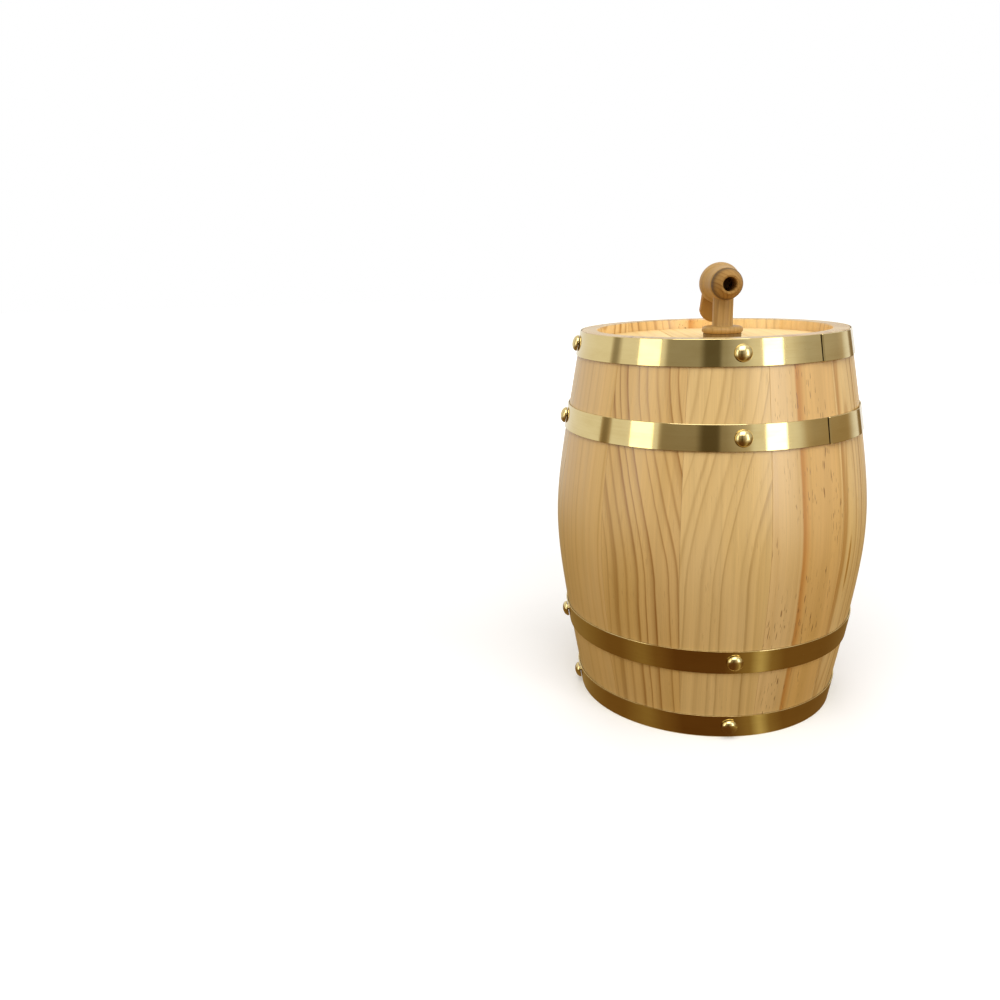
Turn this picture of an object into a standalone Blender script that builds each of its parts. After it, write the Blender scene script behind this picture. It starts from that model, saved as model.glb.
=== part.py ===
"""Small pine wine barrel standing on end, with brass hoops, a bung and a wooden tap in its top head.

Metres, +Z up. The origin is the centre of the lower end. The spout of the tap faces -Y.
Azimuths are counted in degrees from -Y towards +X.
"""

import math

import bmesh
import bpy
from mathutils import Matrix, Vector

# Barrel
LENGTH = 0.250
BILGE_RADIUS = 0.1025
END_RADIUS = 0.085
BEND = 0.32
STAVES = 12
STAVE_THICK = 0.013
STAVE_PHASE = -5.0
CHIME_THICK = 0.010
FACETS = 5
RINGS = 9
GAP = 0.0003

# Heads and the croze groove they stand in
HEAD_THICK = 0.012
HEAD_RECESS = 0.0065
CROZE_DEPTH = 0.003
CROZE_MOUTH = 0.0068
CROZE_FLOOR = 0.0038
BOARD_WIDTH = 0.048

# Hoops, all cut from one strip
HOOP_WIDTH = 0.0156
HOOP_THICK = 0.0008
HOOP_SHY = 0.0002
QUARTER_HOOP = 0.0477
UPPER_LAP_START = 34.0
LOWER_LAP_START = 214.0
LAP_STEPS = 4
LAP_TAIL_STEPS = 3

# Dome-headed nails
NAIL_AZIMUTHS = (0.0, 90.0, 180.0, 270.0)
NAIL_HEAD_RADIUS = 0.0052
NAIL_DOME = 0.0036
NAIL_SHANK_RADIUS = 0.0010
NAIL_SHANK = 0.0062
NAIL_POINT = 0.0018

# Bung, in the middle of the stave opposite the spout
BUNG_RADIUS = 0.0130
BUNG_TAPER = 0.0016
BUNG_LENGTH = 0.020
BUNG_PROUD = 0.003

# Tap
TAP_OFFSET = 0.031
TAP_STANDOFF = 0.0051
TAIL_LENGTH = 0.045
TAIL_TOP_RADIUS = 0.0117
TAIL_END_RADIUS = 0.0085
FLANGE_RADIUS = 0.01255
FLANGE_THICK = 0.0044
STEM_RADIUS = 0.00625
KEY_RISE = 0.0352
HOUSING_RADIUS = 0.0127
HOUSING_WRAP = 120.0
HOUSING_NOSE_RADIUS = 0.0098
HOUSING_FRONT = 0.0068
HOUSING_BACK = 0.0240
HOUSING_ROUND = 0.0012
TAP_BORE_RADIUS = 0.0040

# Key: tapered plug with the spout in front and the lever behind
PLUG_FRONT_RADIUS = 0.0070
PLUG_BACK_RADIUS = 0.0057
PLUG_BACK = 0.0246
SPOUT_REACH = 0.0184
SPOUT_RADIUS = 0.0095
SPOUT_ROOT_RADIUS = 0.0082
SPOUT_LIP_RADIUS = 0.0058
SPOUT_BORE_RADIUS = 0.0043
PORT_RADIUS = 0.0034
TENON = 0.0070
TENON_PROUD = 0.0012
LEVER_THICK = 0.0055
LEVER_HUB_RADIUS = 0.0070
LEVER_TIP_RADIUS = 0.0092
LEVER_REACH = 0.0252
LEVER_ROUND = 0.0010

# Facet counts of the turned pieces
NAIL_SIDES = 12
HOLE_SIDES = 8
TAP_SIDES = 24
BUNG_SIDES = 24
ARC_STEPS = 4

# Sizes that follow from the ones above
SECTOR = 360.0 / STAVES
FACET = SECTOR / FACETS
AROUND = STAVES * FACETS
HALF = LENGTH / 2
HEAD_TOP = LENGTH - HEAD_RECESS
CROZE_Z = HEAD_TOP - HEAD_THICK / 2
BUNG_AZIMUTH = STAVE_PHASE + SECTOR * round((180.0 - STAVE_PHASE) / SECTOR)
FLANGE_BASE = HEAD_TOP + TAP_STANDOFF
KEY_Z = HEAD_TOP + KEY_RISE
KEY_CENTRE = Vector((0.0, -TAP_OFFSET, KEY_Z))
KEY_ROLL = math.pi / TAP_SIDES

PINE = ((0.66, 0.44, 0.21, 1.0), 0.55, 0.0)
PALE_PINE = ((0.74, 0.55, 0.30, 1.0), 0.58, 0.0)
BRASS = ((0.63, 0.50, 0.20, 1.0), 0.22, 1.0)
TAP_WOOD = ((0.42, 0.25, 0.10, 1.0), 0.50, 0.0)
LEVER_WOOD = ((0.40, 0.20, 0.06, 1.0), 0.48, 0.0)
CORK = ((0.46, 0.29, 0.15, 1.0), 0.85, 0.0)


def clear_file():
    """Remove every object and make the two collections."""
    for obj in list(bpy.data.objects):
        bpy.data.objects.remove(obj, do_unlink=True)
    groups = []
    for name in ("wine_barrel", "cutters"):
        group = bpy.data.collections.new(name)
        bpy.context.scene.collection.children.link(group)
        groups.append(group)
    return groups


def direction(azimuth):
    """Unit vector pointing out of the barrel at an azimuth in degrees."""
    turn = math.radians(azimuth)
    return Vector((math.sin(turn), -math.cos(turn), 0.0))


def outer_radius(z):
    """Outside radius of the wood at height z: a hyperbola, nearly straight at the ends."""
    along = (z - HALF) / HALF
    rise = math.sqrt(1.0 + (along / BEND) ** 2) - 1.0
    full = math.sqrt(1.0 + BEND ** -2) - 1.0
    return BILGE_RADIUS - (BILGE_RADIUS - END_RADIUS) * rise / full


def inner_radius(z):
    """Inside radius of the staves at height z."""
    return outer_radius(z) - STAVE_THICK


def croze_seat():
    """Inside radius of the staves at the middle of the upper croze."""
    return inner_radius(CROZE_Z)


def finish(obj, group, finish_values, smooth=True):
    """Put an object in its collection and give it its own material."""
    for owner in list(obj.users_collection):
        owner.objects.unlink(obj)
    group.objects.link(obj)
    colour, roughness, metallic = finish_values
    material = bpy.data.materials.new(obj.name)
    material.use_nodes = True
    shader = material.node_tree.nodes["Principled BSDF"]
    shader.inputs["Base Color"].default_value = colour
    shader.inputs["Roughness"].default_value = roughness
    shader.inputs["Metallic"].default_value = metallic
    obj.data.materials.clear()
    obj.data.materials.append(material)
    if smooth:
        obj.data.shade_smooth()
        obj.data.set_sharp_from_angle(angle=math.radians(30.0))
    return obj


def new_object(name, bm):
    """Object from a bmesh, with its faces turned outwards."""
    bmesh.ops.remove_doubles(bm, verts=bm.verts, dist=1e-6)
    bmesh.ops.recalc_face_normals(bm, faces=bm.faces)
    mesh = bpy.data.meshes.new(name)
    bm.to_mesh(mesh)
    bm.free()
    obj = bpy.data.objects.new(name, mesh)
    bpy.context.scene.collection.objects.link(obj)
    return obj


def baked(obj):
    """Replace an object's mesh by its evaluated one and drop its modifiers."""
    graph = bpy.context.evaluated_depsgraph_get()
    mesh = bpy.data.meshes.new_from_object(obj.evaluated_get(graph))
    obj.modifiers.clear()
    obj.data = mesh
    return obj


def turned(name, profile, steps, angle=360.0, closed=False):
    """Turn a profile of (radius, height) points about Z.

    A profile that starts and ends on the axis turns into a closed solid. A closed profile
    turned through part of a circle has its two end faces filled.
    """
    bm = bmesh.new()
    points = [bm.verts.new((r, 0.0, z)) for r, z in profile]
    for a, b in zip(points, points[1:]):
        bm.edges.new((a, b))
    if closed:
        bm.edges.new((points[-1], points[0]))
    mesh = bpy.data.meshes.new(name)
    bm.to_mesh(mesh)
    bm.free()
    obj = bpy.data.objects.new(name, mesh)
    bpy.context.scene.collection.objects.link(obj)
    screw = obj.modifiers.new("turn", "SCREW")
    screw.axis = "Z"
    screw.angle = math.radians(angle)
    screw.steps = steps
    screw.render_steps = steps
    screw.use_merge_vertices = angle >= 360.0
    screw.merge_threshold = 1e-6
    baked(obj)
    bm = bmesh.new()
    bm.from_mesh(obj.data)
    bmesh.ops.remove_doubles(bm, verts=bm.verts, dist=1e-6)
    bmesh.ops.dissolve_degenerate(bm, edges=bm.edges, dist=1e-7)
    open_edges = [e for e in bm.edges if e.is_boundary]
    if open_edges:
        bmesh.ops.holes_fill(bm, edges=open_edges, sides=0)
    bmesh.ops.recalc_face_normals(bm, faces=bm.faces)
    bm.to_mesh(obj.data)
    bm.free()
    return obj


def move_mesh(obj, matrix):
    """Move an object's mesh, leaving its origin where it is."""
    obj.data.transform(matrix)
    obj.data.update()


def cut(obj, cutter, operation="DIFFERENCE"):
    """Add a live Boolean to an object."""
    step = obj.modifiers.new(cutter.name, "BOOLEAN")
    step.object = cutter
    step.operation = operation
    step.solver = "EXACT"


def weld(obj):
    """Merge the points that lie within a hundredth of a millimetre of each other."""
    step = obj.modifiers.new("weld", "WELD")
    step.merge_threshold = 1e-5


def as_cutter(obj, group):
    """Show an object as a cutting tool and keep it out of the result."""
    for owner in list(obj.users_collection):
        owner.objects.unlink(obj)
    group.objects.link(obj)
    obj.hide_render = True
    obj.display_type = "WIRE"
    return obj


def stave_profile():
    """Section of a stave along its middle: bent outside, chimes and crozes inside."""
    levels = [i / (RINGS - 1) for i in range(RINGS)]
    hoop_edges = []
    for low in (HOOP_SHY, QUARTER_HOOP):
        hoop_edges += [low + HOOP_WIDTH, LENGTH - low - HOOP_WIDTH]
        if low > HOOP_SHY:
            hoop_edges += [low, LENGTH - low]
    bend_low = QUARTER_HOOP + HOOP_WIDTH
    heights = [bend_low + t * (LENGTH - 2 * bend_low) for t in levels]
    outside = sorted(set(heights + hoop_edges + [0.0, LENGTH]), reverse=True)
    points = [(outer_radius(z), z) for z in outside]

    seat = croze_seat()
    mouth = CROZE_MOUTH / 2 + GAP
    floor = CROZE_FLOOR / 2 + GAP
    low_z = LENGTH - CROZE_Z
    lower = [(END_RADIUS - CHIME_THICK, 0.0)]
    for r, z in ((seat, low_z - mouth), (seat + CROZE_DEPTH, low_z - floor)):
        lower.append((r, z))
    for r, z in ((seat + CROZE_DEPTH, low_z + floor), (seat, low_z + mouth)):
        lower.append((r, z))
    middle_low = low_z + HEAD_THICK / 2 + GAP
    span = LENGTH - 2 * middle_low
    inside = [(inner_radius(middle_low + t * span), middle_low + t * span) for t in levels]
    upper = [(r, LENGTH - z) for r, z in reversed(lower)]
    return points + lower + inside + upper


def build_staves(group):
    """The ring of staves, each a slice of the turned barrel wall."""
    profile = stave_profile()
    slit = math.degrees(GAP / (END_RADIUS - STAVE_THICK))
    staves = {}
    for i in range(STAVES):
        name = f"stave_{i + 1:02d}"
        obj = turned(name, profile, FACETS, SECTOR - slit, closed=True)
        azimuth = STAVE_PHASE + i * SECTOR
        start = azimuth - 90.0 - (SECTOR - slit) / 2
        move_mesh(obj, Matrix.Rotation(math.radians(start), 4, "Z"))
        finish(obj, group, PINE)
        staves[azimuth] = obj
    return staves


def stave_at(staves, azimuth):
    """The stave that covers an azimuth."""
    def off(centre):
        return abs((centre - azimuth + 180.0) % 360.0 - 180.0)
    return staves[min(staves, key=off)]


def head_disc(name):
    """Round head with an edge that fits the croze, lying with its middle at height 0."""
    seat = croze_seat()
    face = seat - 2 * GAP
    rim = seat + CROZE_DEPTH - GAP
    top = HEAD_THICK / 2
    profile = [(0.0, top), (face, top), (face, CROZE_MOUTH / 2), (rim, CROZE_FLOOR / 2)]
    profile += [(r, -z) for r, z in reversed(profile)]
    obj = turned(name, profile, AROUND)
    move_mesh(obj, Matrix.Rotation(math.radians(STAVE_PHASE - 90.0 + SECTOR / 2), 4, "Z"))
    return obj


def build_head(group, prefix, height):
    """A head of three boards butted side by side."""
    edge = BOARD_WIDTH / 2
    far = BILGE_RADIUS
    spans = {"left": (-far, -edge - GAP), "middle": (-edge, edge), "right": (edge + GAP, far)}
    boards = {}
    for side, (low, high) in spans.items():
        obj = head_disc(f"{prefix}_{side}")
        bm = bmesh.new()
        bm.from_mesh(obj.data)
        for x, facing in ((low, -1.0), (high, 1.0)):
            geom = bm.verts[:] + bm.edges[:] + bm.faces[:]
            bmesh.ops.bisect_plane(
                bm, geom=geom, plane_co=(x, 0.0, 0.0), plane_no=(facing, 0.0, 0.0), clear_outer=True
            )
            open_edges = [e for e in bm.edges if e.is_boundary]
            if open_edges:
                bmesh.ops.holes_fill(bm, edges=open_edges, sides=0)
        bmesh.ops.recalc_face_normals(bm, faces=bm.faces)
        bm.to_mesh(obj.data)
        bm.free()
        move_mesh(obj, Matrix.Translation((0.0, 0.0, height)))
        boards[side] = finish(obj, group, PALE_PINE, smooth=False)
    return boards


def hoop_heights():
    """Lower edge of each hoop, from the top of the barrel down."""
    return {
        "hoop_top_head": LENGTH - HOOP_SHY - HOOP_WIDTH,
        "hoop_top_quarter": LENGTH - QUARTER_HOOP - HOOP_WIDTH,
        "hoop_bottom_quarter": QUARTER_HOOP,
        "hoop_bottom_head": HOOP_SHY,
    }


def hoop_points(z):
    """Plan of a hoop's inner side at height z, from its lapped outer end round to its inner end."""
    lift = HOOP_THICK + GAP
    start = UPPER_LAP_START if z > HALF else LOWER_LAP_START
    points = []
    for i in range(AROUND + LAP_TAIL_STEPS + 1):
        radius = outer_radius(z) + GAP + (lift if i <= LAP_STEPS else 0.0)
        points.append(direction(start + i * FACET) * radius + Vector((0.0, 0.0, z)))
    return points


def build_hoop(group, name, low):
    """A hoop: a strip set to the slope of the staves, its ends lapped."""
    bm = bmesh.new()
    ring = [bm.verts.new(p) for p in hoop_points(low)]
    edges = [bm.edges.new(pair) for pair in zip(ring, ring[1:])]
    grown = bmesh.ops.extrude_edge_only(bm, edges=edges)
    upper = [v for v in grown["geom"] if isinstance(v, bmesh.types.BMVert)]
    taper = (outer_radius(low + HOOP_WIDTH) + GAP) / (outer_radius(low) + GAP)
    bmesh.ops.scale(bm, vec=(taper, taper, 1.0), verts=upper)
    bmesh.ops.translate(bm, vec=(0.0, 0.0, HOOP_WIDTH), verts=upper)
    bm.normal_update()
    inward = [f for f in bm.faces if f.normal.xy.dot(f.calc_center_median().xy) < 0.0]
    bmesh.ops.reverse_faces(bm, faces=inward)
    mesh = bpy.data.meshes.new(name)
    bm.to_mesh(mesh)
    bm.free()
    obj = bpy.data.objects.new(name, mesh)
    strip = obj.modifiers.new("strip", "SOLIDIFY")
    strip.thickness = HOOP_THICK
    strip.offset = 1.0
    return finish(obj, group, BRASS)


def nail_frame(low, azimuth):
    """Place and lean of a nail: its own Z leaves the hoop square to the strip."""
    top = low + HOOP_WIDTH
    mid = low + HOOP_WIDTH / 2
    fall = (outer_radius(low) - outer_radius(top)) / HOOP_WIDTH
    out = (direction(azimuth) + Vector((0.0, 0.0, fall))).normalized()
    seat = outer_radius(mid) + GAP + HOOP_THICK + GAP
    place = direction(azimuth) * seat + Vector((0.0, 0.0, mid))
    return Matrix.Translation(place) @ out.to_track_quat("Z", "Y").to_matrix().to_4x4()


def build_nails(group, cutters, hoops, staves):
    """Nails through every hoop into the staves, with their holes."""
    point = -NAIL_SHANK - NAIL_POINT
    profile = [(0.0, NAIL_DOME)]
    for i in range(1, ARC_STEPS + 1):
        turn = math.radians(90.0 * i / ARC_STEPS)
        profile.append((NAIL_HEAD_RADIUS * math.sin(turn), NAIL_DOME * math.cos(turn)))
    profile += [(NAIL_SHANK_RADIUS, 0.0), (NAIL_SHANK_RADIUS, -NAIL_SHANK), (0.0, point)]
    sides = ("front", "right", "back", "left")
    for azimuth, side in zip(NAIL_AZIMUTHS, sides):
        bm = bmesh.new()
        for name, low in hoop_heights().items():
            frame = nail_frame(low, azimuth)
            nail = turned(f"nail_{name[5:]}_{side}", profile, NAIL_SIDES)
            move_mesh(nail, frame)
            finish(nail, group, BRASS)
            depth = NAIL_DOME - point + GAP
            centre = Matrix.Translation((0.0, 0.0, NAIL_DOME - depth / 2))
            bmesh.ops.create_cone(
                bm, cap_ends=True, segments=HOLE_SIDES, radius1=NAIL_SHANK_RADIUS + GAP,
                radius2=NAIL_SHANK_RADIUS + GAP, depth=depth, matrix=frame @ centre,
            )
        holes = as_cutter(new_object(f"nail_holes_{side}", bm), cutters)
        cut(stave_at(staves, azimuth), holes)
        for hoop in hoops.values():
            cut(hoop, holes)


def build_bung(group, cutters, staves):
    """Tapered bung and the hole it stops, in the stave opposite the spout."""
    out = direction(BUNG_AZIMUTH)
    place = out * BILGE_RADIUS + Vector((0.0, 0.0, HALF))
    slope = BUNG_TAPER / BUNG_LENGTH
    top_radius = BUNG_RADIUS + slope * BUNG_PROUD
    tip = BUNG_PROUD - BUNG_LENGTH
    arris = BUNG_PROUD / 4
    profile = [(0.0, BUNG_PROUD), (top_radius - arris, BUNG_PROUD), (top_radius, BUNG_PROUD - arris)]
    profile += [(BUNG_RADIUS + slope * tip, tip), (0.0, tip)]
    bung = turned("bung", profile, BUNG_SIDES)
    turn = out.to_track_quat("Z", "Y").to_matrix().to_4x4()
    move_mesh(bung, turn)
    bung.location = place
    finish(bung, group, CORK)

    depth = 2 * BUNG_LENGTH
    bm = bmesh.new()
    bmesh.ops.create_cone(
        bm, cap_ends=True, segments=BUNG_SIDES, radius1=BUNG_RADIUS - slope * BUNG_LENGTH + GAP,
        radius2=BUNG_RADIUS + slope * BUNG_LENGTH + GAP, depth=depth,
        matrix=Matrix.Translation(place) @ turn,
    )
    hole = as_cutter(new_object("bung_hole", bm), cutters)
    cut(stave_at(staves, BUNG_AZIMUTH), hole)
    return bung


def tap_profile():
    """Half section of the tap's upright: stem, rounded flange and tapered tail."""
    stem_top = KEY_Z - HOUSING_RADIUS / 2
    points = [(0.0, stem_top), (STEM_RADIUS, stem_top)]
    half = FLANGE_THICK / 2
    middle = FLANGE_BASE + half
    points.append((STEM_RADIUS, middle + half))
    for i in range(ARC_STEPS + 1):
        turn = math.pi * i / ARC_STEPS
        points.append((FLANGE_RADIUS - half + half * math.sin(turn), middle + half * math.cos(turn)))
    points.append((TAIL_TOP_RADIUS, FLANGE_BASE))
    points.append((TAIL_END_RADIUS, FLANGE_BASE - TAIL_LENGTH))
    points.append((0.0, FLANGE_BASE - TAIL_LENGTH))
    return points


def housing_profile():
    """Half section of the key's housing about the key's axis: a ball behind, narrowing to the spout.

    Positive heights point to the spout.
    """
    centre = HOUSING_RADIUS - HOUSING_BACK
    count = 2 * ARC_STEPS + 2
    points = []
    for i in range(count + 1):
        turn = math.radians(HOUSING_WRAP) * i / count
        points.append((HOUSING_RADIUS * math.sin(turn), centre - HOUSING_RADIUS * math.cos(turn)))
    points[0] = (0.0, -HOUSING_BACK)
    edge = HOUSING_ROUND
    points.append((HOUSING_NOSE_RADIUS, HOUSING_FRONT - edge))
    points.append((HOUSING_NOSE_RADIUS - edge * 0.3, HOUSING_FRONT - edge * 0.3))
    points.append((HOUSING_NOSE_RADIUS - edge, HOUSING_FRONT))
    points.append((0.0, HOUSING_FRONT))
    return points


def plug_slope():
    """Growth of the plug's radius for each metre towards the spout."""
    return (PLUG_FRONT_RADIUS - PLUG_BACK_RADIUS) / (PLUG_BACK + HOUSING_FRONT)


def lay_on_key(obj):
    """Lay a piece turned about Z on the key's axis, its top towards the spout, half a facet round."""
    move_mesh(obj, Matrix.Rotation(math.pi / 2, 4, "X") @ Matrix.Rotation(KEY_ROLL, 4, "Z"))


def cone_between(bm, start, end, start_radius, end_radius, sides):
    """Add a closed cone or cylinder running from one point to another."""
    along = end - start
    turn = along.to_track_quat("Z", "Y").to_matrix().to_4x4()
    bmesh.ops.create_cone(
        bm, cap_ends=True, segments=sides, radius1=start_radius, radius2=end_radius,
        depth=along.length, matrix=Matrix.Translation((start + end) / 2) @ turn,
    )


def build_tap_body(group, cutters, head):
    """Tap body driven into the top head: upright and housing in one, bored, with the key's seat."""
    axis = Vector((0.0, -TAP_OFFSET, 0.0))
    body = turned("tap_body", tap_profile(), TAP_SIDES)
    move_mesh(body, Matrix.Translation(axis))
    finish(body, group, TAP_WOOD)
    housing = turned("key_housing", housing_profile(), TAP_SIDES)
    lay_on_key(housing)
    move_mesh(housing, Matrix.Translation(KEY_CENTRE))
    cut(body, as_cutter(housing, cutters), "UNION")

    high = axis + Vector((0.0, 0.0, FLANGE_BASE))
    low = axis + Vector((0.0, 0.0, FLANGE_BASE - TAIL_LENGTH))
    over = Vector((0.0, 0.0, TAP_BORE_RADIUS))
    bm = bmesh.new()
    cone_between(bm, low - over, KEY_CENTRE, TAP_BORE_RADIUS, TAP_BORE_RADIUS, TAP_SIDES)
    drill = as_cutter(new_object("tap_drill", bm), cutters)

    over = HOUSING_RADIUS / 4
    front = KEY_CENTRE - Vector((0.0, HOUSING_FRONT + over, 0.0))
    back = KEY_CENTRE + Vector((0.0, HOUSING_BACK + over, 0.0))
    wide = PLUG_FRONT_RADIUS + plug_slope() * over + GAP
    narrow = PLUG_FRONT_RADIUS - plug_slope() * (HOUSING_FRONT + HOUSING_BACK + over) + GAP
    bm = bmesh.new()
    cone_between(bm, front, back, wide, narrow, TAP_SIDES)
    roll = Matrix.Rotation(KEY_ROLL, 3, "Y")
    bmesh.ops.rotate(bm, cent=KEY_CENTRE, matrix=roll, verts=bm.verts)
    seat = as_cutter(new_object("key_seat", bm), cutters)
    cut(seat, drill, "UNION")
    cut(body, seat)
    weld(body)

    bm = bmesh.new()
    cone_between(bm, low, high, TAIL_END_RADIUS + GAP, TAIL_TOP_RADIUS + GAP, TAP_SIDES)
    cut(head["middle"], as_cutter(new_object("tap_hole", bm), cutters))


def plug_profile():
    """Half section of the key about its own axis: positive heights point to the spout."""
    shoulder = HOUSING_FRONT + GAP
    nose = SPOUT_REACH - shoulder
    taper = SPOUT_RADIUS - SPOUT_LIP_RADIUS
    blind = -PORT_RADIUS - GAP
    neck = PLUG_FRONT_RADIUS + plug_slope() * GAP
    return [
        (0.0, blind),
        (SPOUT_BORE_RADIUS, blind),
        (SPOUT_BORE_RADIUS, SPOUT_REACH - nose / 20),
        (SPOUT_BORE_RADIUS + nose / 20, SPOUT_REACH),
        (SPOUT_LIP_RADIUS, SPOUT_REACH),
        (SPOUT_LIP_RADIUS + taper * 0.35, SPOUT_REACH - nose * 0.12),
        (SPOUT_LIP_RADIUS + taper * 0.72, SPOUT_REACH - nose * 0.40),
        (SPOUT_LIP_RADIUS + taper * 0.95, SPOUT_REACH - nose * 0.68),
        (SPOUT_RADIUS, SPOUT_REACH - nose * 0.88),
        (SPOUT_ROOT_RADIUS, shoulder),
        (neck, shoulder),
        (PLUG_BACK_RADIUS, -PLUG_BACK),
        (0.0, -PLUG_BACK),
    ]


def build_key_plug(group, cutters):
    """Tapered plug of the tap, hollow to the spout, with a side port and a square tenon."""
    plug = turned("key_plug", plug_profile(), TAP_SIDES)
    lay_on_key(plug)
    plug.location = KEY_CENTRE
    finish(plug, group, TAP_WOOD)

    bm = bmesh.new()
    side = Vector((2 * PLUG_FRONT_RADIUS, 0.0, 0.0))
    cone_between(bm, KEY_CENTRE, KEY_CENTRE + side, PORT_RADIUS, PORT_RADIUS, TAP_SIDES // 2)
    cut(plug, as_cutter(new_object("key_port", bm), cutters))

    root = PLUG_BACK_RADIUS / 2
    length = root + GAP + LEVER_THICK + TENON_PROUD
    centre = KEY_CENTRE + Vector((0.0, PLUG_BACK - root + length / 2, 0.0))
    bm = bmesh.new()
    size = Matrix.Diagonal((TENON, length, TENON, 1.0))
    bmesh.ops.create_cube(bm, size=1.0, matrix=Matrix.Translation(centre) @ size)
    cut(plug, as_cutter(new_object("key_tenon", bm), cutters), "UNION")
    return plug


def lever_outline():
    """Paddle outline in its own plane: a small hub above a wider rounded end."""
    drop = LEVER_REACH - LEVER_TIP_RADIUS
    lean = math.asin((LEVER_TIP_RADIUS - LEVER_HUB_RADIUS) / drop)
    count = 2 * ARC_STEPS
    points = []
    for i in range(count + 1):
        turn = -lean + (math.pi + 2 * lean) * i / count
        points.append((LEVER_HUB_RADIUS * math.cos(turn), LEVER_HUB_RADIUS * math.sin(turn)))
    for i in range(count + 1):
        turn = math.pi + lean + (math.pi - 2 * lean) * i / count
        points.append((LEVER_TIP_RADIUS * math.cos(turn), LEVER_TIP_RADIUS * math.sin(turn) - drop))
    return points


def build_key_lever(group, cutters):
    """Paddle lever on the tenon behind the housing."""
    near = PLUG_BACK + GAP
    bm = bmesh.new()
    face = bm.faces.new([bm.verts.new((x, near, z)) for x, z in lever_outline()])
    grown = bmesh.ops.extrude_face_region(bm, geom=[face])
    moved = [v for v in grown["geom"] if isinstance(v, bmesh.types.BMVert)]
    bmesh.ops.translate(bm, verts=moved, vec=(0.0, LEVER_THICK, 0.0))
    lever = new_object("key_lever", bm)
    lever.location = KEY_CENTRE
    soften = lever.modifiers.new("soften", "BEVEL")
    soften.width = LEVER_ROUND
    soften.segments = 1
    soften.limit_method = "ANGLE"
    soften.angle_limit = math.radians(60.0)
    finish(lever, group, LEVER_WOOD)

    wide = TENON + 2 * GAP
    bm = bmesh.new()
    centre = KEY_CENTRE + Vector((0.0, near + LEVER_THICK / 2, 0.0))
    size = Matrix.Diagonal((wide, 2 * LEVER_THICK, wide, 1.0))
    bmesh.ops.create_cube(bm, size=1.0, matrix=Matrix.Translation(centre) @ size)
    cut(lever, as_cutter(new_object("lever_mortise", bm), cutters))
    return lever


def main():
    """Build the barrel from the staves outwards."""
    group, cutters = clear_file()
    staves = build_staves(group)
    top = build_head(group, "top_head", CROZE_Z)
    build_head(group, "bottom_head", LENGTH - CROZE_Z)
    hoops = {name: build_hoop(group, name, low) for name, low in hoop_heights().items()}
    build_nails(group, cutters, hoops, staves)
    build_bung(group, cutters, staves)
    build_tap_body(group, cutters, top)
    build_key_plug(group, cutters)
    build_key_lever(group, cutters)


main()
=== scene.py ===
"""Looks of a small pine wine barrel standing on end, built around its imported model.

Metres, +Z up, the barrel's axis on Z. Azimuths are degrees from -Y, where the spout points, towards +X.
"""

import logging
import math
from collections.abc import Callable, Collection, Sequence
from dataclasses import dataclass, field
from enum import Enum

import bpy
from mathutils import Matrix, Vector


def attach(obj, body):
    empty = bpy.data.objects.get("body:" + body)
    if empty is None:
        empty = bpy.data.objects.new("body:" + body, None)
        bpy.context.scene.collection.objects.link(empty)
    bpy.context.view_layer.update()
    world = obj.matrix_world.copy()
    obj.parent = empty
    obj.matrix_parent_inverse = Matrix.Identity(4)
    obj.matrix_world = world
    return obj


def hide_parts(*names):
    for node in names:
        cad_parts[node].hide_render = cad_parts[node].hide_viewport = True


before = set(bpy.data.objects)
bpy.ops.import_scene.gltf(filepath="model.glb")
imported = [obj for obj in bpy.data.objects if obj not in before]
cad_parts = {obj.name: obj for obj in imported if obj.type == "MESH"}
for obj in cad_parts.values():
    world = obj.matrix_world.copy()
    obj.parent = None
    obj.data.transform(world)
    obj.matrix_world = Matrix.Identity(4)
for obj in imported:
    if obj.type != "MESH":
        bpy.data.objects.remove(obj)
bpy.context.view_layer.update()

GRAIN_SPACE = "grain_space"  # place in a board: across, into and along it
STRIP_SPACE = "strip_space"  # place on sheet brass: along and across it, and off it
BOARD_MIDDLE = 0.125  # where a board's middle lies along it
WELD = 1e-6  # points nearer than this are one
SEED_SIZE = 1e-3
SAME_TURN = 0.01  # azimuths nearer than this, in degrees, are one
ROUND = 0.3  # how far in a rounding's middle point lies, as a share of its width
CORNER_POINTS = 3  # points of a rounded corner in a section
ARRIS_STEPS = 2  # facets across an eased arris
SMOOTH_ANGLE = math.radians(32.0)
CRISP_ANGLE = math.radians(15.0)
ORIGIN = Vector((0.0, 0.0, 0.0))
UP = Vector((0.0, 0.0, 1.0))

Colour = tuple[float, float, float, float]
Socket = bpy.types.NodeSocket
log = logging.getLogger("wine_barrel")


def grey(value: float) -> Colour:
    """An opaque grey of one value."""
    return (value, value, value, 1.0)


def outward(azimuth: float) -> Vector:
    """Unit vector that leaves the barrel's axis at an azimuth in degrees."""
    turn = math.radians(azimuth)
    return Vector((math.sin(turn), -math.cos(turn), 0.0))


def azimuth_of(place: Vector) -> float:
    """Azimuth of a place in degrees, from -180 to 180."""
    return math.degrees(math.atan2(place.x, -place.y))


class HoopPlace(Enum):
    """Where a hoop sits on the barrel."""

    TOP_HEAD = "top_head"
    TOP_QUARTER = "top_quarter"
    BOTTOM_QUARTER = "bottom_quarter"
    BOTTOM_HEAD = "bottom_head"


class Quarter(Enum):
    """Where a nail sits round a hoop, with its azimuth."""

    FRONT = 0.0
    RIGHT = 90.0
    BACK = 180.0
    LEFT = 270.0


class HeadEnd(Enum):
    """Which end of the barrel a head closes."""

    TOP = "top_head"
    BOTTOM = "bottom_head"


class BoardSide(Enum):
    """Which of a head's three boards a board is."""

    LEFT = "left"
    MIDDLE = "middle"
    RIGHT = "right"


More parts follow.
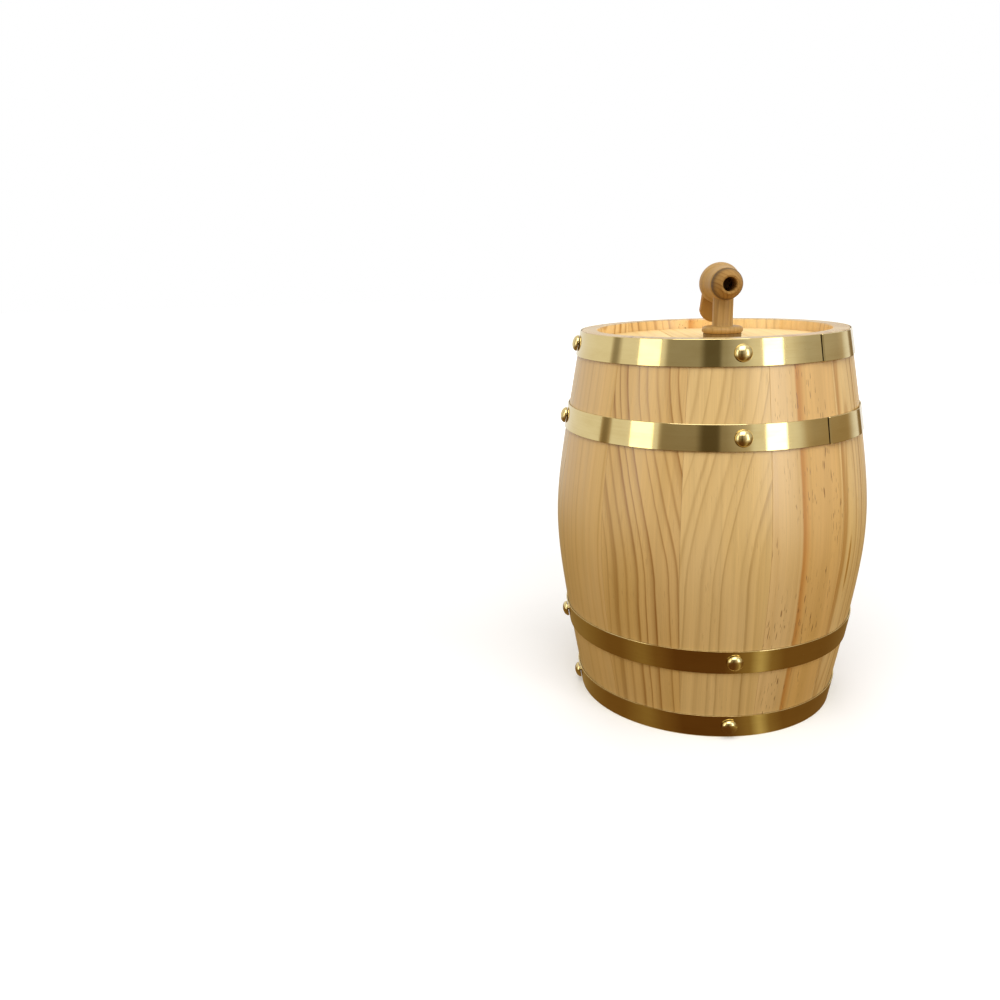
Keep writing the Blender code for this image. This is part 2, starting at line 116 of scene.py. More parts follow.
class Ray(Enum):
    """Kinds of ray that can be kept from seeing a studio card."""

    CAMERA = "visible_camera"
    DIFFUSE = "visible_diffuse"
    SHADOW = "visible_shadow"
    TRANSMISSION = "visible_transmission"


class Panel(Enum):
    """Tones of the surround's upright panels, painted reflections for the brass."""

    WHITE = (1.0, 1.0, 1.0, 1.0)
    PALE = (0.65, 0.65, 0.65, 1.0)
    SHADE = (0.42, 0.395, 0.345, 1.0)
    DARK = (0.15, 0.128, 0.083, 1.0)


class Brown(Enum):
    """Tones of the table card's sectors, painted dark reflections in the lower hoops."""

    GLEAM = (0.60, 0.48, 0.23, 1.0)
    GOLD = (0.30, 0.19, 0.062, 1.0)
    TAN = (0.21, 0.110, 0.030, 1.0)
    DEEP = (0.14, 0.060, 0.015, 1.0)


# Modelling bench


class Bench:
    """The modelling moves that the pieces share, done with Blender's own tools."""

    @staticmethod
    def clear() -> None:
        """Leave edit mode and deselect every object."""
        if bpy.context.mode != "OBJECT":
            bpy.ops.object.mode_set(mode="OBJECT")
        bpy.ops.object.select_all(action="DESELECT")

    @staticmethod
    def hold(piece: bpy.types.Object) -> None:
        """Select one piece alone and make it the active one.

        Args:
            piece: The object to select.
        """
        Bench.clear()
        piece.select_set(True)
        bpy.context.view_layer.objects.active = piece

    @staticmethod
    def settle(piece: bpy.types.Object) -> bpy.types.Object:
        """Move a piece's place, turn and scale into its mesh.

        Args:
            piece: The object to settle.

        Returns:
            The same object, at the origin, unturned and unscaled.
        """
        Bench.hold(piece)
        bpy.ops.object.transform_apply(location=True, rotation=True, scale=True)
        return piece

    @staticmethod
    def outline(name: str, points: Sequence[Sequence[float]]) -> bpy.types.Object:
        """Draw a chain of points by extruding the first one along it.

        Args:
            name: Name of the new piece.
            points: Places of the chain's points, in order.

        Returns:
            The new object, left in edit mode.
        """
        Bench.clear()
        bpy.ops.mesh.primitive_plane_add(size=SEED_SIZE, location=points[0])
        piece = bpy.context.object
        piece.name = piece.data.name = name
        bpy.ops.object.transform_apply(location=True, rotation=True, scale=True)
        bpy.ops.object.mode_set(mode="EDIT")
        bpy.ops.mesh.select_mode(type="VERT")
        bpy.ops.mesh.select_all(action="SELECT")
        bpy.ops.mesh.merge(type="CENTER")
        for start, end in zip(points, points[1:]):
            step = Vector(end) - Vector(start)
            bpy.ops.mesh.extrude_region_move(TRANSFORM_OT_translate={"value": step})
        return piece

    @staticmethod
    def fill() -> None:
        """Fill the chain that is being drawn with one face."""
        bpy.ops.mesh.select_all(action="SELECT")
        bpy.ops.mesh.edge_face_add()

    @staticmethod
    def spin(angle: float, steps: int, centre: Sequence[float], axis: Sequence[float]) -> None:
        """Spin all of the piece in edit mode into a solid, and close its seam and poles.

        Args:
            angle: Sweep in degrees.
            steps: Facets of the sweep.
            centre: A point on the axis.
            axis: Direction of the axis.
        """
        bpy.ops.mesh.select_all(action="SELECT")
        bpy.ops.mesh.spin(steps=steps, angle=math.radians(angle), center=centre, axis=axis)
        Bench.close()

    @staticmethod
    def close() -> None:
        """Merge doubled points and turn every face outwards, then leave edit mode."""
        bpy.ops.mesh.select_all(action="SELECT")
        bpy.ops.mesh.remove_doubles(threshold=WELD)
        bpy.ops.mesh.normals_make_consistent(inside=False)
        bpy.ops.object.mode_set(mode="OBJECT")

    @staticmethod
    def turned(
        name: str, profile: Sequence[tuple[float, float]], steps: int, foot: Vector, axis: Vector = UP
    ) -> bpy.types.Object:
        """Turn a half section of (radius, height) points on a lathe.

        Args:
            name: Name of the new piece.
            profile: Half section that starts and ends on the axis.
            steps: Facets round the piece.
            foot: Where height 0 lies on the axis.
            axis: Direction of growing height.

        Returns:
            The closed, turned object.
        """
        side = axis.orthogonal().normalized()
        points = [foot + side * radius + axis * height for radius, height in profile]
        piece = Bench.outline(name, points)
        Bench.spin(360.0, steps, foot, axis)
        return piece

    @staticmethod
    def unpick(piece: bpy.types.Object, kind: str) -> None:
        """Deselect all of a piece's mesh, ready to pick some of it.

        Args:
            piece: The object to pick on.
            kind: What is to be picked, VERT or EDGE.
        """
        Bench.hold(piece)
        bpy.ops.object.mode_set(mode="EDIT")
        bpy.ops.mesh.select_mode(type=kind)
        bpy.ops.mesh.select_all(action="DESELECT")
        bpy.ops.object.mode_set(mode="OBJECT")

    @staticmethod
    def pick_edges(piece: bpy.types.Object, wanted: Callable[[Vector, Vector], bool]) -> int:
        """Select edges by the places of their two ends, and go into edit mode.

        Args:
            piece: The object to pick on.
            wanted: Says whether an edge between two places is picked.

        Returns:
            How many edges were picked.
        """
        Bench.unpick(piece, "EDGE")
        mesh = piece.data
        picked = 0
        for edge in mesh.edges:
            a, b = (mesh.vertices[i].co for i in edge.vertices)
            edge.select = wanted(a, b)
            picked += edge.select
        bpy.ops.object.mode_set(mode="EDIT")
        return picked

    @staticmethod
    def shift_points(piece: bpy.types.Object, points: Collection[int], step: Vector) -> None:
        """Move some points of a piece.

        Args:
            piece: The object to work on.
            points: Numbers of the points.
            step: How far they go.
        """
        Bench.unpick(piece, "VERT")
        for index in points:
            piece.data.vertices[index].select = True
        bpy.ops.object.mode_set(mode="EDIT")
        bpy.ops.transform.translate(value=step)
        bpy.ops.object.mode_set(mode="OBJECT")

    @staticmethod
    def soften(
        piece: bpy.types.Object, width: float, segments: int, wanted: Callable[[Vector, Vector], bool]
    ) -> None:
        """Round over the edges that a test picks.

        Args:
            piece: The object to work on.
            width: Width of the rounding.
            segments: Facets across it.
            wanted: Says whether an edge between two places is rounded.
        """
        if Bench.pick_edges(piece, wanted):
            bpy.ops.mesh.bevel(offset=width, segments=segments, affect="EDGES", clamp_overlap=True)
        bpy.ops.object.mode_set(mode="OBJECT")

    @staticmethod
    def carve(piece: bpy.types.Object, tool: bpy.types.Object, operation: str = "DIFFERENCE") -> None:
        """Cut a piece with a tool, or join the tool to it, and put the tool away.

        Args:
            piece: The object to work on.
            tool: The other solid, which is removed.
            operation: The Boolean's operation.
        """
        Bench.hold(piece)
        step = piece.modifiers.new("carve", "BOOLEAN")
        step.object = tool
        step.operation = operation
        step.solver = "EXACT"
        bpy.ops.object.modifier_apply(modifier=step.name)
        bpy.data.objects.remove(tool, do_unlink=True)
        bpy.ops.object.mode_set(mode="EDIT")
        Bench.close()

    @staticmethod
    def copy(piece: bpy.types.Object, name: str, place: Matrix) -> bpy.types.Object:
        """Copy a piece with a mesh of its own and put the copy in its place.

        Args:
            piece: The pattern.
            name: Name of the copy.
            place: Where the copy goes.

        Returns:
            The copy, with its place in its mesh.
        """
        Bench.hold(piece)
        bpy.ops.object.duplicate(linked=False)
        made = bpy.context.object
        made.name = made.data.name = name
        made.matrix_world = place
        return Bench.settle(made)

    @staticmethod
    def drop(piece: bpy.types.Object) -> None:
        """Delete a pattern that has been copied."""
        Bench.hold(piece)
        bpy.ops.object.delete()

    @staticmethod
    def map_surface(piece: bpy.types.Object, name: str, where: Callable[[Vector], Vector]) -> None:
        """Store a place in the material's own space on every point of a piece.

        Args:
            piece: The object to map.
            name: Name of the attribute.
            where: Gives the material's place for a point.
        """
        Bench.store_places(piece, name, [where(point.co) for point in piece.data.vertices])

    @staticmethod
    def store_places(piece: bpy.types.Object, name: str, places: Sequence[Vector]) -> None:
        """Store one place for each point of a piece, in place of any stored before.

        Args:
            piece: The object to store them on.
            name: Name of the attribute.
            places: The places, in the points' order.
        """
        attributes = piece.data.attributes
        if name in attributes:
            attributes.remove(attributes[name])
        layer = attributes.new(name, "FLOAT_VECTOR", "POINT")
        layer.data.foreach_set("vector", [value for place in places for value in place])

    @staticmethod
    def finish(
        piece: bpy.types.Object,
        material: bpy.types.Material,
        body: str,
        slot: str,
        nodes: Sequence[str],
        angle: float = SMOOTH_ANGLE,
    ) -> None:
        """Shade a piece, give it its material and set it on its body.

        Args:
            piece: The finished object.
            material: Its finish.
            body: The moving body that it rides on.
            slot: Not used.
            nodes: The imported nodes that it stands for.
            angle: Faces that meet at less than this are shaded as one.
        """
        Bench.hold(piece)
        bpy.ops.object.shade_smooth_by_angle(angle=angle)
        piece.data.materials.clear()
        piece.data.materials.append(material)
        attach(piece, body)
        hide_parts(*nodes)
        log.info("%s on %s: %d faces, %s", piece.name, body, len(piece.data.polygons), material.name)


# Node wiring


@dataclass(frozen=True)
class Softness:
    """How soft noise varies: its turns per metre along each axis, and its finer layers."""

    scale: tuple[float, float, float]
    detail: float = 2.0
    rough: float = 0.5


class Wiring:
    """Adds and joins nodes in one node tree."""

    def __init__(self, tree: bpy.types.NodeTree) -> None:
        """Work on a node tree."""
        self.tree = tree

    def feed(self, socket: Socket, value: object) -> None:
        """Link a socket to another one, or set its value.

        Args:
            socket: The input to feed.
            value: The output to link to it, or the value to set.
        """
        if isinstance(value, bpy.types.NodeSocket):
            self.tree.links.new(value, socket)
        else:
            socket.default_value = value

    def add(self, kind: str, inputs: dict | None = None, **settings: object) -> bpy.types.Node:
        """Add a node.

        Args:
            kind: Blender's name for the node.
            inputs: Values or links of its inputs, by name or number.
            **settings: The node's own settings.

        Returns:
            The new node.
        """
        node = self.tree.nodes.new(kind)
        for name, value in settings.items():
            setattr(node, name, value)
        for key, value in (inputs or {}).items():
            self.feed(node.inputs[key], value)
        return node

    def math(self, operation: str, *values: object) -> Socket:
        """Result of a sum on one, two or three values."""
        return self.add("ShaderNodeMath", dict(enumerate(values)), operation=operation).outputs[0]

    def split(self, vector: Socket) -> bpy.types.bpy_prop_collection:
        """The three values of a place."""
        return self.add("ShaderNodeSeparateXYZ", {0: vector}).outputs

    def distance(self, vector: Socket) -> Socket:
        """How far a place lies from the middle of its space."""
        return self.add("ShaderNodeVectorMath", {0: vector}, operation="LENGTH").outputs["Value"]

    def scaled(self, vector: Socket, scale: Sequence[float], shift: object = ORIGIN) -> Socket:
        """A place multiplied along each axis and then shifted."""
        inputs = {0: vector, 1: scale, 2: shift}
        return self.add("ShaderNodeVectorMath", inputs, operation="MULTIPLY_ADD").outputs[0]

    def noise(self, place: Socket, soft: Softness, shift: object = ORIGIN) -> Socket:
        """Soft noise from 0 to 1 at a place.

        Args:
            place: The place.
            soft: How the noise varies.
            shift: Which part of the noise is shown.

        Returns:
            The noise.
        """
        values = {"Vector": self.scaled(place, soft.scale, shift), "Scale": 1.0}
        values |= {"Detail": soft.detail, "Roughness": soft.rough}
        return self.add("ShaderNodeTexNoise", values).outputs[0]

    def ease(self, value: Socket, low: object, high: object) -> Socket:
        """A smooth step from 0 at low to 1 at high."""
        values = {0: value, 1: low, 2: high}
        return self.add("ShaderNodeMapRange", values, interpolation_type="SMOOTHSTEP").outputs[0]

    def centred(self, value: Socket, amount: object) -> Socket:
        """A 0 to 1 value brought to lie about 0, times an amount."""
        return self.math("MULTIPLY", self.math("SUBTRACT", value, 0.5), amount)

    def tints(self, value: Socket, stops: Sequence[tuple[float, Colour]]) -> Socket:
        """A colour read off a row of stops.

        Args:
            value: Where on the row, from 0 to 1.
            stops: (place, colour) pairs, the first at 0 and the last at 1.

        Returns:
            The colour.
        """
        node = self.add("ShaderNodeValToRGB", {0: value})
        elements = node.color_ramp.elements
        for place, colour in stops[1:-1]:
            elements.new(place).color = colour
        elements[0].color, elements[-1].color = stops[0][1], stops[-1][1]
        return node.outputs[0]

    def mix(self, share: object, a: object, b: object, way: str = "MIX") -> Socket:
        """Two colours mixed.

        Args:
            share: How much of the second colour shows, from 0 to 1.
            a: The first colour.
            b: The second colour.
            way: Blender's name for the way of mixing.

        Returns:
            The mixed colour.
        """
        node = self.add("ShaderNodeMix", data_type="RGBA", blend_type=way)
        for index, value in ((0, share), (6, a), (7, b)):
            self.feed(node.inputs[index], value)
        return node.outputs[2]

    def shade(self, colour: object, value: Socket, saturation: object = 1.0) -> Socket:
        """A colour made lighter or darker by a value about 1."""
        values = {"Color": colour, "Value": value, "Saturation": saturation}
        return self.add("ShaderNodeHueSaturation", values).outputs[0]

    def relief(self, shader: bpy.types.Node, height: Socket, strength: float, depth: float) -> None:
        """Bend a shader's normals to a height of a depth in metres."""
        values = {"Strength": strength, "Distance": depth, "Height": height}
        self.feed(shader.inputs["Normal"], self.add("ShaderNodeBump", values).outputs[0])


class Pattern:
    """A shader node group with named inputs and outputs."""

    def __init__(self, name: str, inputs: Sequence[str], outputs: Sequence[str]) -> None:
        """Make an empty group. The first input is a place, the rest are numbers.

        Args:
            name: Name of the group.
            inputs: Names of its inputs.
            outputs: Names of its outputs.
        """
        self.tree = bpy.data.node_groups.new(name, "ShaderNodeTree")
        for i, label in enumerate(inputs):
            kind = "NodeSocketFloat" if i else "NodeSocketVector"
            self.tree.interface.new_socket(name=label, in_out="INPUT", socket_type=kind)
        for label in outputs:
            self.tree.interface.new_socket(name=label, in_out="OUTPUT", socket_type="NodeSocketFloat")
        self.wires = Wiring(self.tree)
        self.given = self.wires.add("NodeGroupInput").outputs
        self.result = self.wires.add("NodeGroupOutput").inputs
        self.offset: object = ORIGIN

    def shift(self, *values: object) -> None:
        """Show the part of the noise that starts at three values."""
        self.offset = self.wires.add("ShaderNodeCombineXYZ", dict(enumerate(values))).outputs[0]

    def noise(self, kind: Enum) -> Socket:
        """Soft noise of a kind at the group's place."""
        return self.wires.noise(self.given["Place"], kind.value, self.offset)

    def put(self, name: str, value: Socket) -> None:
        """Give out a result."""
        self.wires.feed(self.result[name], value)

    def place(self, wires: Wiring, values: dict) -> bpy.types.bpy_prop_collection:
        """Put the group into a material.

        Args:
            wires: The material's wiring.
            values: Values or links of the group's inputs.

        Returns:
            The group's outputs, by name.
        """
        return wires.add("ShaderNodeGroup", values, node_tree=self.tree).outputs


# Patterns of wood and brass


class Grain(Enum):
    """The noises of a board's figure, across, into and along it."""

    SWAY = Softness((20.0, 20.0, 8.0), 1.0)
    RIPPLE = Softness((75.0, 75.0, 30.0))
    FADE = Softness((60.0, 60.0, 12.0))
    FIBRE = Softness((1500.0, 1500.0, 22.0), 3.0, 0.6)
    STREAK = Softness((300.0, 300.0, 5.0), 3.0, 0.55)
    DASH = Softness((1350.0, 1350.0, 125.0), 1.0)
    DASH_PATCH = Softness((70.0, 70.0, 24.0), 1.0)
    TONE = Softness((26.0, 26.0, 7.0))


class WoodRings(Pattern):
    """Year rings, fibres, resin flecks and slow tone of a board."""

    INPUTS = (
        "Place", "Pith", "Depth", "Sweep", "Sweep From", "Sweep To", "Lean", "Dive", "Ring", "Waver",
        "Seed", "Band",
    )
    OUTPUTS = ("Late", "Fibre", "Streak", "Fleck", "Tone", "Side", "Line")
    SEED_DEPTH = 3.7
    RIPPLE_SHARE = 0.3
    SIDE_EDGE = (-0.0006, 0.0022)
    LINE_RISE = (-0.0010, 0.0004)
    LINE_FALL = (0.0064, 0.0004)
    YEAR_DRIFT = 0.7
    YEAR_LUCK = (0.62, 0.38)
    YEAR_FADE = (0.9, 0.5)
    SEASON = (
        (0.0, grey(0.26)), (0.08, grey(0.04)), (0.50, grey(0.07)), (0.72, grey(0.36)), (0.85, grey(1.0)),
        (0.93, grey(0.85)), (1.0, grey(0.26)),
    )
    DASH_EDGE = (0.655, 0.72)
    PATCH_EDGE = (0.38, 0.58)

    def __init__(self) -> None:
        """Wire the whole figure."""
        super().__init__("wood_rings", self.INPUTS, self.OUTPUTS)
        self.shift(self.given["Seed"], self.SEED_DEPTH, self.given["Seed"])
        self.across, self.into, self.along = self.wires.split(self.given["Place"])
        self.middle = self.wires.math("SUBTRACT", self.along, BOARD_MIDDLE)
        aside = self.from_heart()
        self.wire_line(aside)
        self.wire_years(aside)
        self.wire_marks()

    def from_heart(self) -> Socket:
        """How far across the board a place lies from the swaying line of the tree's heart.

        Returns:
            The distance.
        """
        w, given = self.wires, self.given
        sway = w.centred(self.noise(Grain.SWAY), given["Waver"])
        ripple = w.centred(self.noise(Grain.RIPPLE), self.RIPPLE_SHARE)
        sway = w.math("MULTIPLY_ADD", ripple, given["Waver"], sway)
        sweep = w.ease(self.along, given["Sweep From"], given["Sweep To"])
        heart = w.math("MULTIPLY_ADD", sweep, given["Sweep"], given["Pith"])
        heart = w.math("MULTIPLY_ADD", self.middle, given["Lean"], heart)
        return w.math("SUBTRACT", w.math("SUBTRACT", self.across, heart), sway)

    def wire_line(self, aside: Socket) -> None:
        """Part the board at its band into two sides, with a brown line where the second starts.

        Args:
            aside: How far from the heart a place lies.
        """
        w, given = self.wires, self.given
        past = w.math("ADD", w.math("SUBTRACT", aside, given["Band"]), given["Pith"])
        self.put("Side", w.ease(past, *self.SIDE_EDGE))
        rise, fall = w.ease(past, *self.LINE_RISE), w.ease(past, *self.LINE_FALL)
        self.put("Line", w.math("MULTIPLY", rise, fall))

    def wire_years(self, aside: Socket) -> None:
        """Draw the dark late wood of every year, stronger in some years than in others.

        Args:
            aside: How far from the heart a place lies.
        """
        w, given = self.wires, self.given
        below = w.math("ADD", self.into, w.math("MULTIPLY_ADD", self.middle, given["Dive"], given["Depth"]))
        square = w.math("MULTIPLY_ADD", aside, aside, w.math("MULTIPLY", below, below))
        years = w.math("DIVIDE", w.math("SQRT", square), given["Ring"])
        drift = {"W": w.math("ADD", years, given["Seed"]), "Scale": self.YEAR_DRIFT}
        years = w.math("ADD", years, w.add("ShaderNodeTexNoise", drift, noise_dimensions="1D").outputs[0])
        late = w.tints(w.math("FRACT", years), self.SEASON)
        year = {"W": w.math("ADD", w.math("FLOOR", years), given["Seed"])}
        luck = w.add("ShaderNodeTexWhiteNoise", year, noise_dimensions="1D").outputs[0]
        luck = w.math("MULTIPLY_ADD", luck, *self.YEAR_LUCK)
        fade = w.math("MULTIPLY_ADD", self.noise(Grain.FADE), *self.YEAR_FADE)
        self.put("Late", w.math("MULTIPLY", late, w.math("MULTIPLY", luck, fade)))

    def wire_marks(self) -> None:
        """Draw the fibres, streaks, resin flecks and slow tone."""
        w = self.wires
        for name, kind in (("Fibre", Grain.FIBRE), ("Streak", Grain.STREAK), ("Tone", Grain.TONE)):
            self.put(name, self.noise(kind))
        dash = w.ease(self.noise(Grain.DASH), *self.DASH_EDGE)
        patch = w.ease(self.noise(Grain.DASH_PATCH), *self.PATCH_EDGE)
        self.put("Fleck", w.math("MULTIPLY", dash, patch))


class Rolling(Enum):
    """The noises of rolled brass, along and across the strip and off it."""

    FINE = Softness((14.0, 2600.0, 2600.0), 3.0, 0.65)
    BROAD = Softness((6.0, 700.0, 700.0))
    CLOUD = Softness((45.0, 110.0, 110.0), 3.0, 0.6)
    PIT = Softness((900.0, 1100.0, 1100.0), 1.0)


class MetalBrushing(Pattern):
    """Rolling streaks, cloudy smudges and small pits of sheet brass."""

    FINE_SHARE = 0.6
    BROAD_SHARE = 0.4
    PIT_EDGE = (0.70, 0.80)

    def __init__(self) -> None:
        """Wire the whole pattern."""
        super().__init__("metal_brushing", ("Place", "Seed"), ("Streak", "Cloud", "Pit"))
        w = self.wires
        self.shift(self.given["Seed"], self.given["Seed"])
        broad = w.math("MULTIPLY", self.noise(Rolling.BROAD), self.BROAD_SHARE)
        self.put("Streak", w.math("MULTIPLY_ADD", self.noise(Rolling.FINE), self.FINE_SHARE, broad))
        self.put("Cloud", self.noise(Rolling.CLOUD))
        self.put("Pit", w.ease(self.noise(Rolling.PIT), *self.PIT_EDGE))


WOOD_RINGS = WoodRings()
METAL_BRUSHING = MetalBrushing()


# Finishes


def new_material(name: str) -> tuple[bpy.types.Material, Wiring, bpy.types.Node]:
    """Start a material.

    Args:
        name: Name of the material.

    Returns:
        The material, its wiring and its shader.
    """
    material = bpy.data.materials.new(name)
    material.use_nodes = True
    return material, Wiring(material.node_tree), material.node_tree.nodes["Principled BSDF"]


@dataclass(frozen=True)
class WoodFinish:
    """A board's figure and colours. Lengths are metres in the board's own space."""

    early: Colour
    late: Colour
    ring: float = 0.0062
    pith: float = -0.060
    depth: float = 0.020
    sweep: float = 0.0
    sweep_from: float = 0.09
    sweep_to: float = 0.22
    lean: float = 0.0
    dive: float = 0.0
    waver: float = 0.004
    contrast: float = 0.8
    fleck: float = 0.15
    fibre: float = 0.22
    streak: float = 0.28
    tone: float = 0.22
    roughness: float = 0.36
    sheen: float = 0.8
    relief: float = 0.25
    relief_depth: float = 0.0002
    late_height: float = 0.6
    fibre_height: float = 0.5
    late_gloss: float = 0.08
    streak_rough: float = 0.16
    fleck_colour: Colour = (0.20, 0.085, 0.022, 1.0)
    band: float = 1.0
    band_colour: Colour = (0.665, 0.43, 0.175, 1.0)
    line: float = 0.80
    line_colour: Colour = (0.46, 0.20, 0.05, 1.0)
    rich: float = 1.06
    rich_drift: float = 0.25
    # Darker ends: stained end grain on the staves; on the tap's tail and the spout's root this is painted
    # shade.
    stain_and_shade_start: float = 1.0
    stain_and_shade_full: float = 1.1
    stain_and_shade_depth: float = 0.6
    stain_and_shade_clear: float = 1e-6
    stain_and_shade_edge: float = 1.2
    # Lighter inside: painted light on the staves' inner faces.
    inside_light: float = 0.0
    inside_light_depth: float = 0.0094
    inside_light_edge: float = 0.97

    def figure(self, w: Wiring, space: Socket, seed: float) -> bpy.types.bpy_prop_collection:
        """Lay the board's figure.

        Args:
            w: The material's wiring.
            space: Place in the board.
            seed: Which part of the pattern the piece shows.

        Returns:
            The figure's masks and values, by name.
        """
        return WOOD_RINGS.place(w, {
            "Place": space, "Pith": self.pith, "Depth": self.depth, "Sweep": self.sweep,
            "Sweep From": self.sweep_from, "Sweep To": self.sweep_to, "Lean": self.lean, "Dive": self.dive,
            "Ring": self.ring, "Waver": self.waver, "Seed": seed, "Band": self.band,
        })

    def planed(self, w: Wiring, figure: bpy.types.bpy_prop_collection) -> Socket:
        """Colour of the clean wood.

        Args:
            w: The material's wiring.
            figure: The board's figure.

        Returns:
            The colour.
        """
        colour = w.mix(figure["Side"], self.early, self.band_colour)
        colour = w.mix(w.math("MULTIPLY", figure["Late"], self.contrast), colour, self.late)
        colour = w.mix(w.math("MULTIPLY", figure["Line"], self.line), colour, self.line_colour)
        light: object = 1.0
        for name, amount in (("Fibre", self.fibre), ("Streak", self.streak), ("Tone", self.tone)):
            light = w.math("ADD", light, w.centred(figure[name], amount))
        rich = w.math("SUBTRACT", self.rich, w.centred(figure["Tone"], self.rich_drift))
        colour = w.shade(colour, light, rich)
        return w.mix(w.math("MULTIPLY", figure["Fleck"], self.fleck), colour, self.fleck_colour)

    def stained_shaded_and_lit(self, w: Wiring, space: Socket, colour: Socket) -> Socket:
        """Colour with darker ends (stained end grain, painted shade on the tap) and a lighter inside (painted
        light).

        Args:
            w: The material's wiring.
            space: Place in the board.
            colour: Colour of the clean wood.

        Returns:
            The colour.
        """
        across, into, along = w.split(space)
        reach = w.math("ABSOLUTE", w.math("SUBTRACT", along, BOARD_MIDDLE))
        off_axis = w.math("SQRT", w.math("MULTIPLY_ADD", across, across, w.math("MULTIPLY", into, into)))
        # Painted shade on the tap's tail and spout root, and stained end grain on the staves, darken the
        # ends.
        skin = w.ease(off_axis, self.stain_and_shade_clear, self.stain_and_shade_clear * self.stain_and_shade_edge)
        stained_and_shaded = w.math("MULTIPLY", w.ease(reach, self.stain_and_shade_start, self.stain_and_shade_full), skin)
        # Painted light: the staves' inner faces are made lighter.
        inside = w.ease(into, self.inside_light_depth * self.inside_light_edge, self.inside_light_depth)
        tone = w.math("MULTIPLY_ADD", inside, self.inside_light, 1.0)
        return w.shade(colour, w.math("MULTIPLY_ADD", stained_and_shaded, -self.stain_and_shade_depth, tone))

    def material(self, name: str, seed: float, mirrored: bool = False) -> bpy.types.Material:
        """Make this finish for one piece.

        Args:
            name: Name of the material.
            seed: Which part of the pattern the piece shows.
            mirrored: Whether the figure runs the other way across.

        Returns:
            The material.
        """
        material, w, shader = new_material(name)
        space = w.add("ShaderNodeAttribute", attribute_name=GRAIN_SPACE).outputs["Vector"]
        side = -1.0 if mirrored else 1.0
        figure = self.figure(w, w.scaled(space, (side, 1.0, 1.0)), seed)
        w.feed(shader.inputs["Base Color"], self.stained_shaded_and_lit(w, space, self.planed(w, figure)))
        rough = w.math("MULTIPLY_ADD", figure["Late"], -self.late_gloss, self.roughness)
        rough = w.math("ADD", rough, w.centred(figure["Streak"], self.streak_rough))
        w.feed(shader.inputs["Roughness"], rough)
        shader.inputs["Specular IOR Level"].default_value = self.sheen
        height = w.math("MULTIPLY", figure["Fibre"], self.fibre_height)
        height = w.math("MULTIPLY_ADD", figure["Late"], self.late_height, height)
        height = w.math("SUBTRACT", height, figure["Fleck"])
        w.relief(shader, height, self.relief, self.relief_depth)
        return material


@dataclass(frozen=True)
class BrassFinish:
    """Sheet or cast brass, brushed along the strip."""

    bright: Colour = (0.68, 0.54, 0.25, 1.0)
    dull: Colour = (0.55, 0.40, 0.15, 1.0)
    smooth: float = 0.045
    scatter: float = 0.07
    cloud_rough: float = 0.06
    streak_dull: float = 0.35
    cloud_dull: float = 0.4
    pit_dull: float = 0.3
    dull_edge: tuple[float, float] = (0.25, 0.75)
    relief: float = 0.10
    relief_depth: float = 0.00006

    def material(self, name: str, seed: float) -> bpy.types.Material:
        """Make this finish for one piece.

        Args:
            name: Name of the material.
            seed: Which part of the pattern the piece shows.

        Returns:
            The material.
        """
        material, w, shader = new_material(name)
        space = w.add("ShaderNodeAttribute", attribute_name=STRIP_SPACE).outputs["Vector"]
        look = METAL_BRUSHING.place(w, {"Place": space, "Seed": seed})
        dulled = w.math("MULTIPLY", look["Cloud"], self.cloud_dull)
        dulled = w.math("MULTIPLY_ADD", look["Streak"], self.streak_dull, dulled)
        dulled = w.math("ADD", dulled, w.math("MULTIPLY", look["Pit"], self.pit_dull))
        w.feed(shader.inputs["Base Color"], w.mix(w.ease(dulled, *self.dull_edge), self.bright, self.dull))
        rough = w.math("MULTIPLY_ADD", look["Streak"], self.scatter, self.smooth)
        rough = w.math("ADD", rough, w.centred(look["Cloud"], self.cloud_rough))
        w.feed(shader.inputs["Roughness"], rough)
        shader.inputs["Metallic"].default_value = 1.0
        w.relief(shader, w.math("SUBTRACT", look["Streak"], look["Pit"]), self.relief, self.relief_depth)
        return material


@dataclass(frozen=True)
class CorkFinish:
    """Pressed cork: grains of several browns with dark pores."""

    pale: Colour = (0.56, 0.37, 0.20, 1.0)
    deep: Colour = (0.36, 0.20, 0.09, 1.0)
    pore: Colour = (0.10, 0.05, 0.02, 1.0)
    grains: float = 520.0
    grain_share: float = 0.6
    cloud: Softness = Softness((160.0, 160.0, 160.0), 3.0)
    cloud_share: float = 0.6
    pores: Softness = Softness((420.0, 420.0, 420.0), 1.0)
    pore_edge: tuple[float, float] = (0.62, 0.72)
    roughness: float = 0.82
    grain_rough: float = 0.1
    grain_height: float = 0.4
    relief: float = 0.5
    relief_depth: float = 0.0004

    def material(self, name: str) -> bpy.types.Material:
        """Make this finish.

        Args:
            name: Name of the material.

        Returns:
            The material.
        """
        material, w, shader = new_material(name)
        place = w.add("ShaderNodeTexCoord").outputs["Object"]
        cells = w.add("ShaderNodeTexVoronoi", {"Vector": place, "Scale": self.grains}).outputs
        grain = w.add("ShaderNodeSeparateColor", {0: cells["Color"]}).outputs[0]
        cloud = w.centred(w.noise(place, self.cloud), self.cloud_share)
        deep = w.math("MULTIPLY_ADD", grain, self.grain_share, cloud)
        holes = w.ease(w.noise(place, self.pores), *self.pore_edge)
        colour = w.mix(holes, w.mix(deep, self.pale, self.deep), self.pore)
        w.feed(shader.inputs["Base Color"], colour)
        w.feed(shader.inputs["Roughness"], w.math("MULTIPLY_ADD", grain, self.grain_rough, self.roughness))
        height = w.math("SUBTRACT", w.math("MULTIPLY", grain, self.grain_height), holes)
        w.relief(shader, height, self.relief, self.relief_depth)
        return material


# Stave ends: stained end grain. Stave insides: painted light on the inner faces.
STAVE_END_STAIN_AND_INSIDE_LIGHT = {"stain_and_shade_start": 0.1242, "stain_and_shade_full": 0.1247, "stain_and_shade_depth": 0.30, "inside_light": 0.22}


